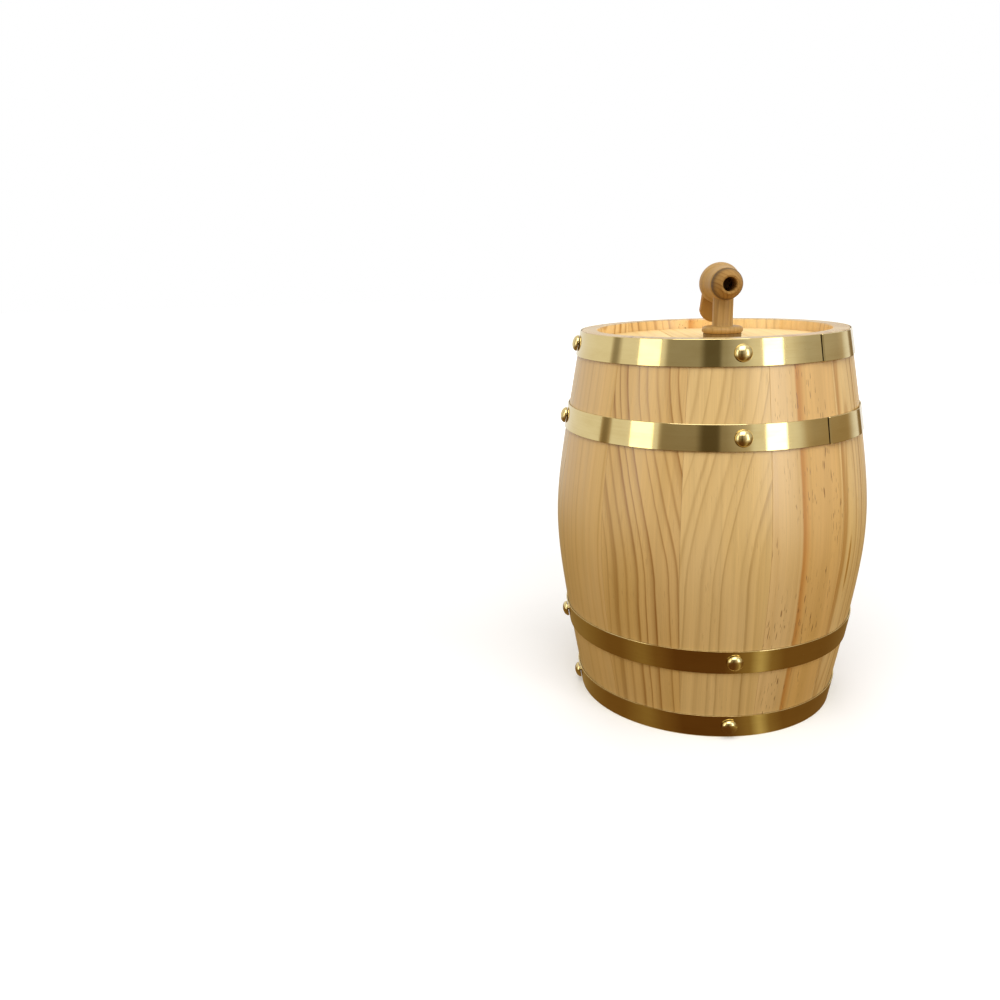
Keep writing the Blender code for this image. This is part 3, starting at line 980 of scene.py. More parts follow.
class Plank(Enum):
    """The kinds of pine board that the staves are cut from."""

    QUIET = WoodFinish(
        early=(0.66, 0.45, 0.195, 1.0), late=(0.48, 0.28, 0.085, 1.0), ring=0.0070, pith=-0.07, waver=0.006,
        contrast=0.6, fleck=0.1, **STAVE_END_STAIN_AND_INSIDE_LIGHT,
    )
    STRIPED = WoodFinish(
        early=(0.625, 0.42, 0.175, 1.0), late=(0.30, 0.145, 0.038, 1.0), ring=0.0062, pith=-0.085, depth=0.03,
        sweep=-0.026, sweep_from=0.105, sweep_to=0.240, waver=0.005, contrast=1.0, **STAVE_END_STAIN_AND_INSIDE_LIGHT,
    )
    PALE = WoodFinish(
        early=(0.67, 0.475, 0.215, 1.0), late=(0.40, 0.25, 0.095, 1.0), ring=0.0068, pith=0.085, depth=0.03,
        sweep=0.027, sweep_from=0.10, sweep_to=0.245, waver=0.005, contrast=0.75, **STAVE_END_STAIN_AND_INSIDE_LIGHT,
    )
    FLECKED = WoodFinish(
        early=(0.66, 0.458, 0.210, 1.0), late=(0.52, 0.33, 0.13, 1.0), ring=0.0110, pith=-0.046, depth=0.012,
        lean=-0.015, waver=0.005, contrast=0.5, fleck=0.9, band=-0.0060, **STAVE_END_STAIN_AND_INSIDE_LIGHT,
    )
    LOOPED = WoodFinish(
        early=(0.72, 0.515, 0.235, 1.0), late=(0.42, 0.22, 0.06, 1.0), ring=0.0048, pith=-0.015, depth=0.0012,
        dive=0.075, lean=0.03, waver=0.003, contrast=1.5, fleck=0.35, band=-0.0252,
        band_colour=(0.72, 0.515, 0.235, 1.0), line_colour=(0.44, 0.22, 0.065, 1.0), **STAVE_END_STAIN_AND_INSIDE_LIGHT,
    )


HEAD_PINE = WoodFinish(
    early=(0.82, 0.60, 0.29, 1.0), late=(0.62, 0.40, 0.155, 1.0), ring=0.0055, pith=-0.05, waver=0.004,
    contrast=0.7, roughness=0.55, sheen=0.35,
)
# Tap body: the tail below the flange is darkened, painted shade under the flange.
TAP_WOOD = WoodFinish(
    early=(0.42, 0.26, 0.10, 1.0), late=(0.25, 0.135, 0.04, 1.0), ring=0.0026, pith=-0.016, depth=0.011,
    waver=0.0015, contrast=0.65, fleck=0.35, fibre=0.3, streak=0.3, roughness=0.5, sheen=0.25, lean=0.03,
    stain_and_shade_start=0.0298, stain_and_shade_full=0.0304, stain_and_shade_depth=0.5,
)
# Key and spout: darker from a few millimetres behind the mouth back to the root, painted shade round the
# spout's root; the bore is left clear.
SPOUT_WOOD = WoodFinish(
    early=(0.35, 0.205, 0.078, 1.0), late=(0.19, 0.09, 0.027, 1.0), ring=0.0022, pith=-0.012, depth=0.010,
    waver=0.0015, contrast=0.75, fleck=0.4, fibre=0.35, streak=0.3, roughness=0.6, sheen=0.1,
    stain_and_shade_start=0.0026, stain_and_shade_full=0.0074, stain_and_shade_depth=0.60, stain_and_shade_clear=0.0047,
)
LEVER_WOOD = WoodFinish(
    early=(0.40, 0.215, 0.065, 1.0), late=(0.22, 0.10, 0.025, 1.0), ring=0.0030, pith=-0.02, depth=0.010,
    waver=0.0015, contrast=0.7, fleck=0.3, fibre=0.3, roughness=0.48, sheen=0.35,
)
HOOP_BRASS = BrassFinish()
NAIL_BRASS = BrassFinish(smooth=0.15, scatter=0.08, relief=0.05)
BUNG_CORK = CorkFinish()


# The barrel's pieces


@dataclass(frozen=True)
class BarrelShape:
    """The barrel's own sizes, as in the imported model."""

    length: float = 0.250
    bilge_radius: float = 0.1025
    end_radius: float = 0.085
    bend: float = 0.32
    wall: float = 0.013
    chime: float = 0.010
    fit: float = 0.0003
    head_thick: float = 0.012
    head_recess: float = 0.0065
    croze_depth: float = 0.003
    croze_mouth: float = 0.0068
    croze_floor: float = 0.0038

    def radius(self, z: float) -> float:
        """Outside radius of the wood.

        Args:
            z: Height above the floor.

        Returns:
            The radius at that height.
        """
        half = self.length / 2
        rise = math.sqrt(1.0 + ((z - half) / half / self.bend) ** 2) - 1.0
        full = math.sqrt(1.0 + self.bend ** -2) - 1.0
        return self.bilge_radius - (self.bilge_radius - self.end_radius) * rise / full

    @property
    def head_top(self) -> float:
        """Height of the top head's upper face."""
        return self.length - self.head_recess

    @property
    def croze_height(self) -> float:
        """Height of the middle of the upper croze."""
        return self.head_top - self.head_thick / 2

    @property
    def seat(self) -> float:
        """Inside radius of the staves at the croze."""
        return self.radius(self.croze_height) - self.wall


SHAPE = BarrelShape()


@dataclass
class Staves:
    """The ring of bent staves, with the bung's hole in one of them."""

    shape: BarrelShape = SHAPE
    count: int = 12
    first_azimuth: float = -5.0
    joint: float = 0.00006
    arris: float = 0.00012
    rim_round: float = 0.0007
    levels: int = 44
    facets: int = 12
    seed_step: float = 7.3
    planks: tuple[tuple[Plank, bool], ...] = (
        (Plank.PALE, False), (Plank.FLECKED, False), (Plank.LOOPED, False), (Plank.STRIPED, True),
        (Plank.QUIET, False), (Plank.PALE, True), (Plank.FLECKED, True), (Plank.STRIPED, False),
        (Plank.LOOPED, True), (Plank.PALE, False), (Plank.QUIET, True), (Plank.STRIPED, False),
    )
    pieces: list[bpy.types.Object] = field(default_factory=list)

    @property
    def sector(self) -> float:
        """Share of the circle that one stave takes, in degrees."""
        return 360.0 / self.count

    def section(self) -> list[tuple[float, float]]:
        """Lengthwise section of a stave, as (radius, height) points.

        Returns:
            The outline: down the outside, then up the inside with its crozes.
        """
        s, edge, mid = self.shape, self.rim_round, self.rim_round * ROUND
        end = s.end_radius
        outside = [(end - edge, s.length), (end - mid, s.length - mid), (s.radius(edge), s.length - edge)]
        for i in range(1, self.levels):
            z = s.length * (1.0 - i / self.levels)
            outside.append((s.radius(z), z))
        outside += [(s.radius(edge), edge), (end - mid, mid), (end - edge, 0.0)]
        mouth, floor = s.croze_mouth / 2 + s.fit, s.croze_floor / 2 + s.fit
        low, deep = s.length - s.croze_height, s.seat + s.croze_depth
        inner = end - s.chime
        lower = [(inner + edge, 0.0), (inner + mid, mid), (inner, edge), (s.seat, low - mouth)]
        lower += [(deep, low - floor), (deep, low + floor), (s.seat, low + mouth)]
        first = low + s.head_thick / 2 + s.fit
        span = s.length - 2 * first
        count = self.levels // 2
        inside = [first + span * i / count for i in range(count + 1)]
        upper = [(r, s.length - z) for r, z in reversed(lower)]
        return outside + lower + [(s.radius(z) - s.wall, z) for z in inside] + upper

    def board_space(self, place: Vector) -> Vector:
        """Where a point lies in the board, for a stave in front.

        Args:
            place: The point.

        Returns:
            Its place across, into and along the board.
        """
        radius = place.xy.length
        across = math.radians(azimuth_of(place)) * radius
        return Vector((across, self.shape.radius(place.z) - radius, place.z))

    def build(self, bung: "Bung") -> None:
        """Model one stave, copy it round, and bore the bung's hole.

        Args:
            bung: The bung that the hole is for.
        """
        slit = math.degrees(self.joint / self.shape.end_radius)
        sweep = self.sector - slit
        start = outward(sweep / 2)
        points = [start * radius + UP * height for radius, height in self.section()]
        pattern = Bench.outline("stave_pattern", points)
        Bench.fill()
        Bench.spin(sweep, self.facets, ORIGIN, UP)

        def outer_arris(a: Vector, b: Vector) -> bool:
            """Whether an edge is a long outer corner of the stave.

            Args:
                a: One end of the edge.
                b: Its other end.

            Returns:
                True for such an edge.
            """
            on_side = all(abs(abs(azimuth_of(p)) - sweep / 2) < SAME_TURN for p in (a, b))
            on_skin = all(p.xy.length > self.shape.radius(p.z) - 2 * self.rim_round for p in (a, b))
            return on_side and on_skin and azimuth_of(a) * azimuth_of(b) > 0.0

        Bench.soften(pattern, self.arris, ARRIS_STEPS, outer_arris)
        Bench.map_surface(pattern, GRAIN_SPACE, self.board_space)
        for i in range(self.count):
            azimuth = self.first_azimuth + i * self.sector
            turn = Matrix.Rotation(math.radians(azimuth), 4, "Z")
            piece = Bench.copy(pattern, f"pine_stave_{i + 1:02d}", turn)
            if abs((azimuth - bung.azimuth + 180.0) % 360.0 - 180.0) < self.sector / 2:
                bung.bore(piece)
                back = turn.inverted()
                Bench.map_surface(piece, GRAIN_SPACE, lambda p: self.board_space(back @ p))
            self.pieces.append(piece)
        Bench.drop(pattern)

    def dress(self) -> None:
        """Give every stave its own board's finish."""
        for i, (piece, (plank, mirrored)) in enumerate(zip(self.pieces, self.planks), 1):
            name = f"pine_{plank.name.lower()}_{i:02d}"
            material = plank.value.material(name, self.seed_step * i, mirrored)
            Bench.finish(piece, material, "barrel", "pine", [f"stave_{i:02d}"], CRISP_ANGLE)


@dataclass
class Heads:
    """The two round heads, each of three boards butted side by side."""

    shape: BarrelShape = SHAPE
    board_width: float = 0.048
    joint: float = 0.0003
    arris: float = 0.0005
    steps: int = 120
    grain_face: float = 0.24
    first_seed: float = 31.7
    seed_step: float = 5.9
    pieces: dict[tuple[HeadEnd, BoardSide], bpy.types.Object] = field(default_factory=dict)

    def disc(self, name: str, height: float) -> bpy.types.Object:
        """Turn a whole head.

        Args:
            name: Name of the new piece.
            height: Height of its middle.

        Returns:
            The turned disc, its edge shaped for the croze.
        """
        s = self.shape
        face = s.seat - 2 * s.fit
        rim = s.seat + s.croze_depth - s.fit
        top, edge = s.head_thick / 2, self.arris
        half = [(0.0, top), (face - edge, top), (face, top - edge)]
        half += [(face, s.croze_mouth / 2), (rim, s.croze_floor / 2)]
        profile = half + [(r, -z) for r, z in reversed(half)]
        return Bench.turned(name, profile, self.steps, Vector((0.0, 0.0, height)))

    def saw(self, piece: bpy.types.Object, x: float, facing: float) -> None:
        """Saw off the part of a board beyond x and plane the cut.

        Args:
            piece: The board.
            x: Where the cut runs.
            facing: 1 to lose the part with larger x, -1 the other.
        """
        Bench.hold(piece)
        bpy.ops.object.mode_set(mode="EDIT")
        bpy.ops.mesh.select_all(action="SELECT")
        bpy.ops.mesh.bisect(
            plane_co=(x, 0.0, 0.0), plane_no=(facing, 0.0, 0.0), use_fill=True, clear_outer=True
        )
        Bench.close()
        middles = (self.shape.croze_height, self.shape.length - self.shape.croze_height)

        def long_corner(a: Vector, b: Vector) -> bool:
            """Whether an edge is a corner between the cut and a face.

            Args:
                a: One end of the edge.
                b: Its other end.

            Returns:
                True for such an edge.
            """
            on_cut = abs(a.x - x) < WELD and abs(b.x - x) < WELD
            on_face = any(abs(abs(a.z - z) - self.shape.head_thick / 2) < WELD for z in middles)
            return on_cut and on_face and abs(a.z - b.z) < WELD

        Bench.soften(piece, self.arris, ARRIS_STEPS, long_corner)

    def build(self, tap: "Tap") -> None:
        """Make both heads and bore the tap's hole in the upper one.

        Args:
            tap: The tap that the hole is for.
        """
        edge = self.board_width / 2
        cuts = {
            BoardSide.LEFT: [(-edge - self.joint, 1.0)],
            BoardSide.MIDDLE: [(-edge, -1.0), (edge, 1.0)],
            BoardSide.RIGHT: [(edge + self.joint, -1.0)],
        }
        upper = self.shape.croze_height
        for end, height in ((HeadEnd.TOP, upper), (HeadEnd.BOTTOM, self.shape.length - upper)):
            for side, saws in cuts.items():
                piece = self.disc(f"board_{end.value}_{side.value}", height)
                for x, facing in saws:
                    self.saw(piece, x, facing)
                self.pieces[end, side] = piece
        tap.bore(self.pieces[HeadEnd.TOP, BoardSide.MIDDLE])

    def dress(self) -> None:
        """Give every board its finish, grain along Y."""
        for i, ((end, side), piece) in enumerate(self.pieces.items()):
            Bench.map_surface(
                piece, GRAIN_SPACE, lambda p: Vector((p.x, p.z - self.grain_face, p.y + BOARD_MIDDLE))
            )
            seed = self.first_seed + self.seed_step * i
            material = HEAD_PINE.material(f"head_pine_{i + 1}", seed, i % 2 == 1)
            Bench.finish(piece, material, "barrel", "head_pine", [f"{end.value}_{side.value}"])


@dataclass
class Hoops:
    """Four hoops cut from one brass strip, their ends lapped."""

    shape: BarrelShape = SHAPE
    width: float = 0.0156
    thick: float = 0.0008
    shy: float = 0.0002
    quarter: float = 0.0477
    upper_lap: float = 34.0
    lower_lap: float = 214.0
    lap: float = 24.0
    lap_foot: float = 30.0
    tuck: float = 18.0
    step: float = 1.5
    corner: float = 0.00022
    feather: float = 0.00070
    filed: float = 0.50
    seed_step: float = 11.3
    pieces: dict[HoopPlace, bpy.types.Object] = field(default_factory=dict)

    def low(self, place: HoopPlace) -> float:
        """Height of a hoop's lower edge.

        Args:
            place: Which hoop.

        Returns:
            The height.
        """
        far = self.shape.length - self.width
        return {
            HoopPlace.TOP_HEAD: far - self.shy,
            HoopPlace.TOP_QUARTER: far - self.quarter,
            HoopPlace.BOTTOM_QUARTER: self.quarter,
            HoopPlace.BOTTOM_HEAD: self.shy,
        }[place]

    def lap_start(self, place: HoopPlace) -> float:
        """Azimuth of a hoop's outer end."""
        return self.upper_lap if self.low(place) > self.shape.length / 2 else self.lower_lap

    def build(self) -> None:
        """Bend each hoop from its own length of strip."""
        for place in HoopPlace:
            self.pieces[place] = self.bend(place)

    def strip(self, width: float) -> list[tuple[float, float]]:
        """Cross-section of the strip, with rounded corners.

        Args:
            width: Width of the strip.

        Returns:
            (thickness, height) points: an inner corner, the outside, the other inner corner.
        """
        edge, mid = self.corner, self.corner * ROUND
        inner = [(edge, 0.0), (mid, mid), (0.0, edge)]
        skin = [(self.thick - t, h) for t, h in inner]
        far_skin = [(t, width - h) for t, h in reversed(skin)]
        far_inner = [(t, width - h) for t, h in inner]
        return [*reversed(inner), *skin, (self.thick, width / 2), *far_skin, *far_inner]

    def bend(self, place: HoopPlace) -> bpy.types.Object:
        """Bend one hoop to the slope of the staves and lap its ends.

        Args:
            place: Which hoop.

        Returns:
            The hoop.
        """
        low, high = self.low(place), self.low(place) + self.width
        foot = Vector((self.shape.radius(low) + self.shape.fit, low))
        head = Vector((self.shape.radius(high) + self.shape.fit, high))
        along = (head - foot).normalized()
        out = Vector((along.y, -along.x))
        first = self.lap_start(place)
        start = outward(first + self.tuck)
        points = []
        for t, h in self.strip((head - foot).length):
            spot = foot + out * t + along * h
            points.append(start * spot.x + UP * spot.y)
        piece = Bench.outline(f"brass_hoop_{place.value}", points)
        Bench.fill()
        sweep = 360.0 + self.tuck
        steps = round(sweep / self.step)
        bpy.ops.mesh.select_all(action="SELECT")
        bpy.ops.mesh.spin(steps=steps, angle=math.radians(sweep), center=ORIGIN, axis=UP)
        bpy.ops.mesh.select_all(action="SELECT")
        bpy.ops.mesh.normals_make_consistent(inside=False)
        bpy.ops.object.mode_set(mode="OBJECT")
        count = len(piece.data.vertices)
        arc = [sweep - (index // len(points)) * self.step for index in range(count)]
        self.lap_over(piece, arc, first)
        places = []
        for degrees, point in zip(arc, piece.data.vertices):
            places.append(Vector((math.radians(degrees) * foot.x, point.co.z - low, 0.0)))
        Bench.store_places(piece, STRIP_SPACE, places)
        return piece

    def lap_over(self, piece: bpy.types.Object, arc: Sequence[float], first: float) -> None:
        """Lift the outer end of the strip over the inner one, and file its corner down.

        Args:
            piece: The bent strip.
            arc: Degrees from the outer end, for every point.
            first: Azimuth of the outer end.
        """
        lift = self.thick + self.shape.fit
        for level in sorted({degrees for degrees in arc if degrees < self.lap_foot}):
            share = 1.0 if level <= self.lap else (self.lap_foot - level) / (self.lap_foot - self.lap)
            share = share * share * (3.0 - 2.0 * share)
            Bench.shift_points(piece, self.ring_at(arc, level), outward(first + level) * (lift * share))
        beside = self.ring_at(arc, self.step)
        slide = math.radians(self.step - self.filed) * piece.data.vertices[beside[0]].co.xy.length
        Bench.shift_points(piece, beside, outward(first + self.step - 90.0) * slide)
        skin = self.ring_at(arc, 0.0)[CORNER_POINTS:-CORNER_POINTS]
        Bench.shift_points(piece, skin, outward(first) * -self.feather)

    @staticmethod
    def ring_at(arc: Sequence[float], level: float) -> list[int]:
        """Numbers of the points that lie a number of degrees from the outer end."""
        return [index for index, degrees in enumerate(arc) if abs(degrees - level) < WELD]

    def dress(self) -> None:
        """Give every hoop its brass."""
        for i, (place, piece) in enumerate(self.pieces.items(), 1):
            material = HOOP_BRASS.material(f"hoop_brass_{i}", self.seed_step * i)
            Bench.finish(piece, material, "barrel", "brass", [f"hoop_{place.value}"], CRISP_ANGLE)


@dataclass
class Nails:
    """Dome-headed brass nails, four through each hoop."""

    shape: BarrelShape = SHAPE
    head_radius: float = 0.0052
    dome: float = 0.0036
    shank_radius: float = 0.0010
    shank: float = 0.0062
    point: float = 0.0018
    edge: float = 0.00035
    steps: int = 40
    arc: int = 12
    seed_step: float = 3.1
    pieces: dict[tuple[HoopPlace, Quarter], bpy.types.Object] = field(default_factory=dict)

    def place(self, hoops: Hoops, hoop: HoopPlace, quarter: Quarter) -> Matrix:
        """Where a nail goes: square to the strip, at the middle of its width.

        Args:
            hoops: The hoops that the nails hold.
            hoop: Which hoop.
            quarter: Which of its nails.

        Returns:
            The nail's place, its own Z pointing out.
        """
        low = hoops.low(hoop)
        middle = low + hoops.width / 2
        fall = (self.shape.radius(low) - self.shape.radius(low + hoops.width)) / hoops.width
        out = outward(quarter.value)
        seat = self.shape.radius(middle) + 2 * self.shape.fit + hoops.thick
        lean = (out + UP * fall).normalized().to_track_quat("Z", "Y").to_matrix().to_4x4()
        return Matrix.Translation(out * seat + UP * middle) @ lean

    def build(self, hoops: Hoops) -> None:
        """Model one nail and drive a copy into every hole.

        Args:
            hoops: The hoops that the nails hold.
        """
        rise = self.dome - self.edge
        profile = [(0.0, self.dome)]
        for i in range(1, self.arc + 1):
            turn = math.pi / 2 * i / self.arc
            profile.append((self.head_radius * math.sin(turn), self.edge + rise * math.cos(turn)))
        mid = self.edge * ROUND
        profile += [(self.head_radius - mid, mid), (self.head_radius - self.edge, 0.0)]
        profile += [(self.shank_radius, 0.0), (self.shank_radius, -self.shank)]
        profile.append((0.0, -self.shank - self.point))
        pattern = Bench.turned("nail_pattern", profile, self.steps, ORIGIN)
        Bench.map_surface(pattern, STRIP_SPACE, lambda p: p.copy())
        for hoop in HoopPlace:
            for quarter in Quarter:
                name = f"brass_nail_{hoop.value}_{quarter.name.lower()}"
                self.pieces[hoop, quarter] = Bench.copy(pattern, name, self.place(hoops, hoop, quarter))
        Bench.drop(pattern)

    def dress(self) -> None:
        """Give every nail its brass."""
        for i, ((hoop, quarter), piece) in enumerate(self.pieces.items(), 1):
            material = NAIL_BRASS.material(f"nail_brass_{i:02d}", self.seed_step * i)
            nodes = [f"nail_{hoop.value}_{quarter.name.lower()}"]
            Bench.finish(piece, material, "barrel", "brass", nodes)


@dataclass
class Bung:
    """Tapered cork bung in the stave opposite the spout."""

    shape: BarrelShape = SHAPE
    azimuth: float = 175.0
    radius: float = 0.0130
    taper: float = 0.0016
    length: float = 0.020
    proud: float = 0.003
    end_round: float = 0.0009
    steps: int = 64
    piece: bpy.types.Object | None = None

    @property
    def slope(self) -> float:
        """Growth of the radius for each metre outwards."""
        return self.taper / self.length

    @property
    def mouth(self) -> Vector:
        """The middle of the hole, on the skin of the stave."""
        return outward(self.azimuth) * self.shape.bilge_radius + UP * (self.shape.length / 2)

    def bore(self, stave: bpy.types.Object) -> None:
        """Ream the bung's tapered hole in a stave.

        Args:
            stave: The stave to bore.
        """
        reach, fit = self.length, self.shape.fit
        near = self.radius - self.slope * reach + fit
        far = self.radius + self.slope * reach + fit
        profile = [(0.0, -reach), (near, -reach), (far, reach), (0.0, reach)]
        tool = Bench.turned("bung_reamer", profile, self.steps, self.mouth, outward(self.azimuth))
        Bench.carve(stave, tool)

    def build(self) -> None:
        """Turn the bung and round its ends."""
        tip = self.proud - self.length
        top = self.radius + self.slope * self.proud
        end = self.radius + self.slope * tip
        edge, mid = self.end_round, self.end_round * ROUND
        profile = [(0.0, tip), (end - edge, tip), (end - mid, tip + mid), (end, tip + edge)]
        profile += [(top, self.proud - edge), (top - mid, self.proud - mid), (top - edge, self.proud)]
        profile += [(top / 2, self.proud), (0.0, self.proud)]
        self.piece = Bench.turned("cork_bung", profile, self.steps, self.mouth, outward(self.azimuth))

    def dress(self) -> None:
        """Give the bung its cork."""
        Bench.finish(self.piece, BUNG_CORK.material("bung_cork"), "bung", "cork", ["bung"])


@dataclass
class Tap:
    """Wooden tap in the top head: body, key with the spout, and lever."""

    shape: BarrelShape = SHAPE
    offset: float = 0.031
    standoff: float = 0.0051
    tail: float = 0.045
    tail_top: float = 0.0117
    tail_end: float = 0.0085
    flange: float = 0.01255
    flange_thick: float = 0.0044
    stem: float = 0.00625
    cove: float = 0.0008
    key_rise: float = 0.0352
    housing: float = 0.0127
    housing_wrap: float = 120.0
    housing_nose: float = 0.0098
    housing_front: float = 0.0068
    housing_back: float = 0.0240
    housing_round: float = 0.0012
    bore_radius: float = 0.0040
    plug_front: float = 0.0070
    plug_back: float = 0.0057
    plug_length: float = 0.0246
    spout_reach: float = 0.0184
    spout: float = 0.0095
    spout_root: float = 0.0082
    spout_lip: float = 0.0058
    spout_swell: float = 2.1
    spout_bore: float = 0.0043
    lip_part: float = 20.0
    lip_edge: float = 0.4
    flare_share: float = 0.12
    port: float = 0.0034
    port_steps: int = 32
    tenon: float = 0.0070
    tenon_proud: float = 0.0012
    tenon_round: float = 0.0005
    lever_thick: float = 0.0055
    lever_hub: float = 0.0070
    lever_tip: float = 0.0092
    lever_reach: float = 0.0252
    lever_round: float = 0.0012
    lever_round_steps: int = 4
    lever_grain: float = 0.14
    steps: int = 96
    arc: int = 20
    bead_steps: int = 12
    body_seed: float = 4.1
    key_seed: float = 8.6
    lever_seed: float = 15.2
    body: bpy.types.Object | None = None
    key: bpy.types.Object | None = None
    lever: bpy.types.Object | None = None

    @property
    def axis(self) -> Vector:
        """Foot of the tap's upright axis, at height 0."""
        return Vector((0.0, -self.offset, 0.0))

    @property
    def flange_base(self) -> float:
        """Height of the flange's lower side."""
        return self.shape.head_top + self.standoff

    @property
    def tail_tip(self) -> float:
        """Height of the tail's lower end."""
        return self.flange_base - self.tail

    @property
    def centre(self) -> Vector:
        """Where the key's axis crosses the stem's."""
        return self.axis + UP * (self.shape.head_top + self.key_rise)

    @property
    def plug_slope(self) -> float:
        """Growth of the plug's radius for each metre towards the spout."""
        return (self.plug_front - self.plug_back) / (self.plug_length + self.housing_front)

    def bore(self, board: bpy.types.Object) -> None:
        """Ream the tail's tapered hole in the head.

        Args:
            board: The board to bore.
        """
        low, high, fit = self.tail_tip, self.flange_base, self.shape.fit
        profile = [(0.0, low), (self.tail_end + fit, low), (self.tail_top + fit, high), (0.0, high)]
        Bench.carve(board, Bench.turned("tail_reamer", profile, self.steps, self.axis))

    def upright_profile(self) -> list[tuple[float, float]]:
        """Half section of the upright: stem, rounded flange and tapered tail.

        Returns:
            (radius, height) points.
        """
        top = self.centre.z - self.housing / 2
        half = self.flange_thick / 2
        middle = self.flange_base + half
        cove, mid = self.cove, self.cove * ROUND
        points = [(0.0, top), (self.stem, top), (self.stem, middle + half + cove)]
        points += [(self.stem + mid, middle + half + mid), (self.stem + cove, middle + half)]
        for i in range(self.bead_steps + 1):
            turn = math.pi * i / self.bead_steps
            points.append((self.flange - half + half * math.sin(turn), middle + half * math.cos(turn)))
        points += [(self.tail_top, self.flange_base), (self.tail_end + cove / 2, self.tail_tip + cove)]
        points += [(self.tail_end - cove / 2, self.tail_tip), (0.0, self.tail_tip)]
        return points

    def housing_profile(self) -> list[tuple[float, float]]:
        """Half section of the key's housing: a ball behind, narrowing towards the spout.

        Returns:
            (radius, height) points.
        """
        middle = self.housing - self.housing_back
        points = []
        for i in range(self.arc + 1):
            turn = math.radians(self.housing_wrap) * i / self.arc
            points.append((self.housing * math.sin(turn), middle - self.housing * math.cos(turn)))
        edge = self.housing_round
        for i in range(self.bead_steps + 1):
            turn = math.pi / 2 * i / self.bead_steps
            rise = self.housing_front - edge + edge * math.sin(turn)
            points.append((self.housing_nose - edge + edge * math.cos(turn), rise))
        points.append((0.0, self.housing_front))
        return points

    def key_profile(self) -> list[tuple[float, float]]:
        """Half section of the key, heights growing towards the spout's mouth.

        Returns:
            (radius, height) points.
        """
        shoulder = self.housing_front + self.shape.fit
        nose = self.spout_reach - shoulder
        ease = nose / self.lip_part
        mid = ease * ROUND
        taper = self.spout - self.spout_lip
        blind = -self.port - self.shape.fit
        mouth = self.spout_reach
        points = [(0.0, blind), (self.spout_bore, blind), (self.spout_bore, mouth - ease)]
        points += [(self.spout_bore + mid, mouth - mid), (self.spout_bore + ease, mouth)]
        points.append((self.spout_lip - ease * self.lip_edge, mouth))
        straight = nose * (1.0 - self.flare_share) - mid
        for i in range(1, self.bead_steps + 1):
            share = i / self.bead_steps
            swell = 1.0 - (1.0 - share) ** self.spout_swell
            points.append((self.spout_lip + taper * swell, mouth - mid - straight * share))
        flare, step = nose * self.flare_share, self.spout - self.spout_root
        for i in range(1, self.bead_steps // 2 + 1):
            share = 2 * i / self.bead_steps
            swell = math.sqrt(1.0 - share * share)
            points.append((self.spout_root + step * swell, shoulder + flare * (1.0 - share)))
        neck = self.plug_front + self.plug_slope * self.shape.fit
        points += [(neck, shoulder), (self.plug_back, -self.plug_length), (0.0, -self.plug_length)]
        return points

    def build_body(self) -> None:
        """Turn the upright and the housing, join them, and bore the seat and the tail."""
        self.body = Bench.turned("tap_body_wood", self.upright_profile(), self.steps, self.axis)
        housing = Bench.turned("key_housing", self.housing_profile(), self.steps, self.centre, outward(0.0))
        Bench.carve(self.body, housing, "UNION")
        radius = self.bore_radius
        low = self.tail_tip - radius
        profile = [(0.0, low), (radius, low), (radius, self.centre.z), (0.0, self.centre.z)]
        Bench.carve(self.body, Bench.turned("tail_drill", profile, self.steps, self.axis))
        over = self.housing / 4
        front = self.housing_front + over
        back = self.housing_back + over
        wide = self.plug_front + self.plug_slope * over + self.shape.fit
        narrow = wide - self.plug_slope * (front + back)
        profile = [(0.0, -back), (narrow, -back), (wide, front), (0.0, front)]
        Bench.carve(self.body, Bench.turned("key_reamer", profile, self.steps, self.centre, outward(0.0)))

    def build_key(self) -> None:
        """Turn the key, drill its port and square its tenon."""
        self.key = Bench.turned("tap_key_wood", self.key_profile(), self.steps, self.centre, outward(0.0))
        reach = 2 * self.plug_front
        profile = [(0.0, 0.0), (self.port, 0.0), (self.port, reach), (0.0, reach)]
        drill = Bench.turned("port_drill", profile, self.port_steps, self.centre, outward(90.0))
        Bench.carve(self.key, drill)
        root = self.plug_back / 2
        length = root + self.shape.fit + self.lever_thick + self.tenon_proud
        middle = self.centre - outward(0.0) * (self.plug_length - root + length / 2)
        Bench.clear()
        bpy.ops.mesh.primitive_cube_add(size=1.0, location=middle, scale=(self.tenon, length, self.tenon))
        tenon = Bench.settle(bpy.context.object)
        far = self.centre.y + self.plug_length - root + length
        Bench.soften(
            tenon, self.tenon_round, ARRIS_STEPS, lambda a, b: max(abs(a.y - far), abs(b.y - far)) < WELD
        )
        Bench.carve(self.key, tenon, "UNION")

    def build_lever(self) -> None:
        """Saw the lever from a board, round its edges and mortise it for the tenon."""
        drop = self.lever_reach - self.lever_tip
        lean = math.asin((self.lever_tip - self.lever_hub) / drop)
        near = self.plug_length + self.shape.fit
        points = []
        for radius, first, sweep, fall in (
            (self.lever_hub, -lean, math.pi + 2 * lean, 0.0),
            (self.lever_tip, math.pi + lean, math.pi - 2 * lean, drop),
        ):
            for i in range(self.arc + 1):
                turn = first + sweep * i / self.arc
                spot = (radius * math.cos(turn), near, radius * math.sin(turn) - fall)
                points.append(self.centre + Vector(spot))
        self.lever = Bench.outline("tap_lever_wood", points)
        Bench.fill()
        bpy.ops.mesh.extrude_region_move(TRANSFORM_OT_translate={"value": (0.0, self.lever_thick, 0.0)})
        Bench.close()
        y = self.centre.y + near

        def rim(a: Vector, b: Vector) -> bool:
            """Whether an edge runs round one of the lever's faces."""
            return abs(a.y - b.y) < WELD and min(abs(a.y - y), abs(a.y - y - self.lever_thick)) < WELD

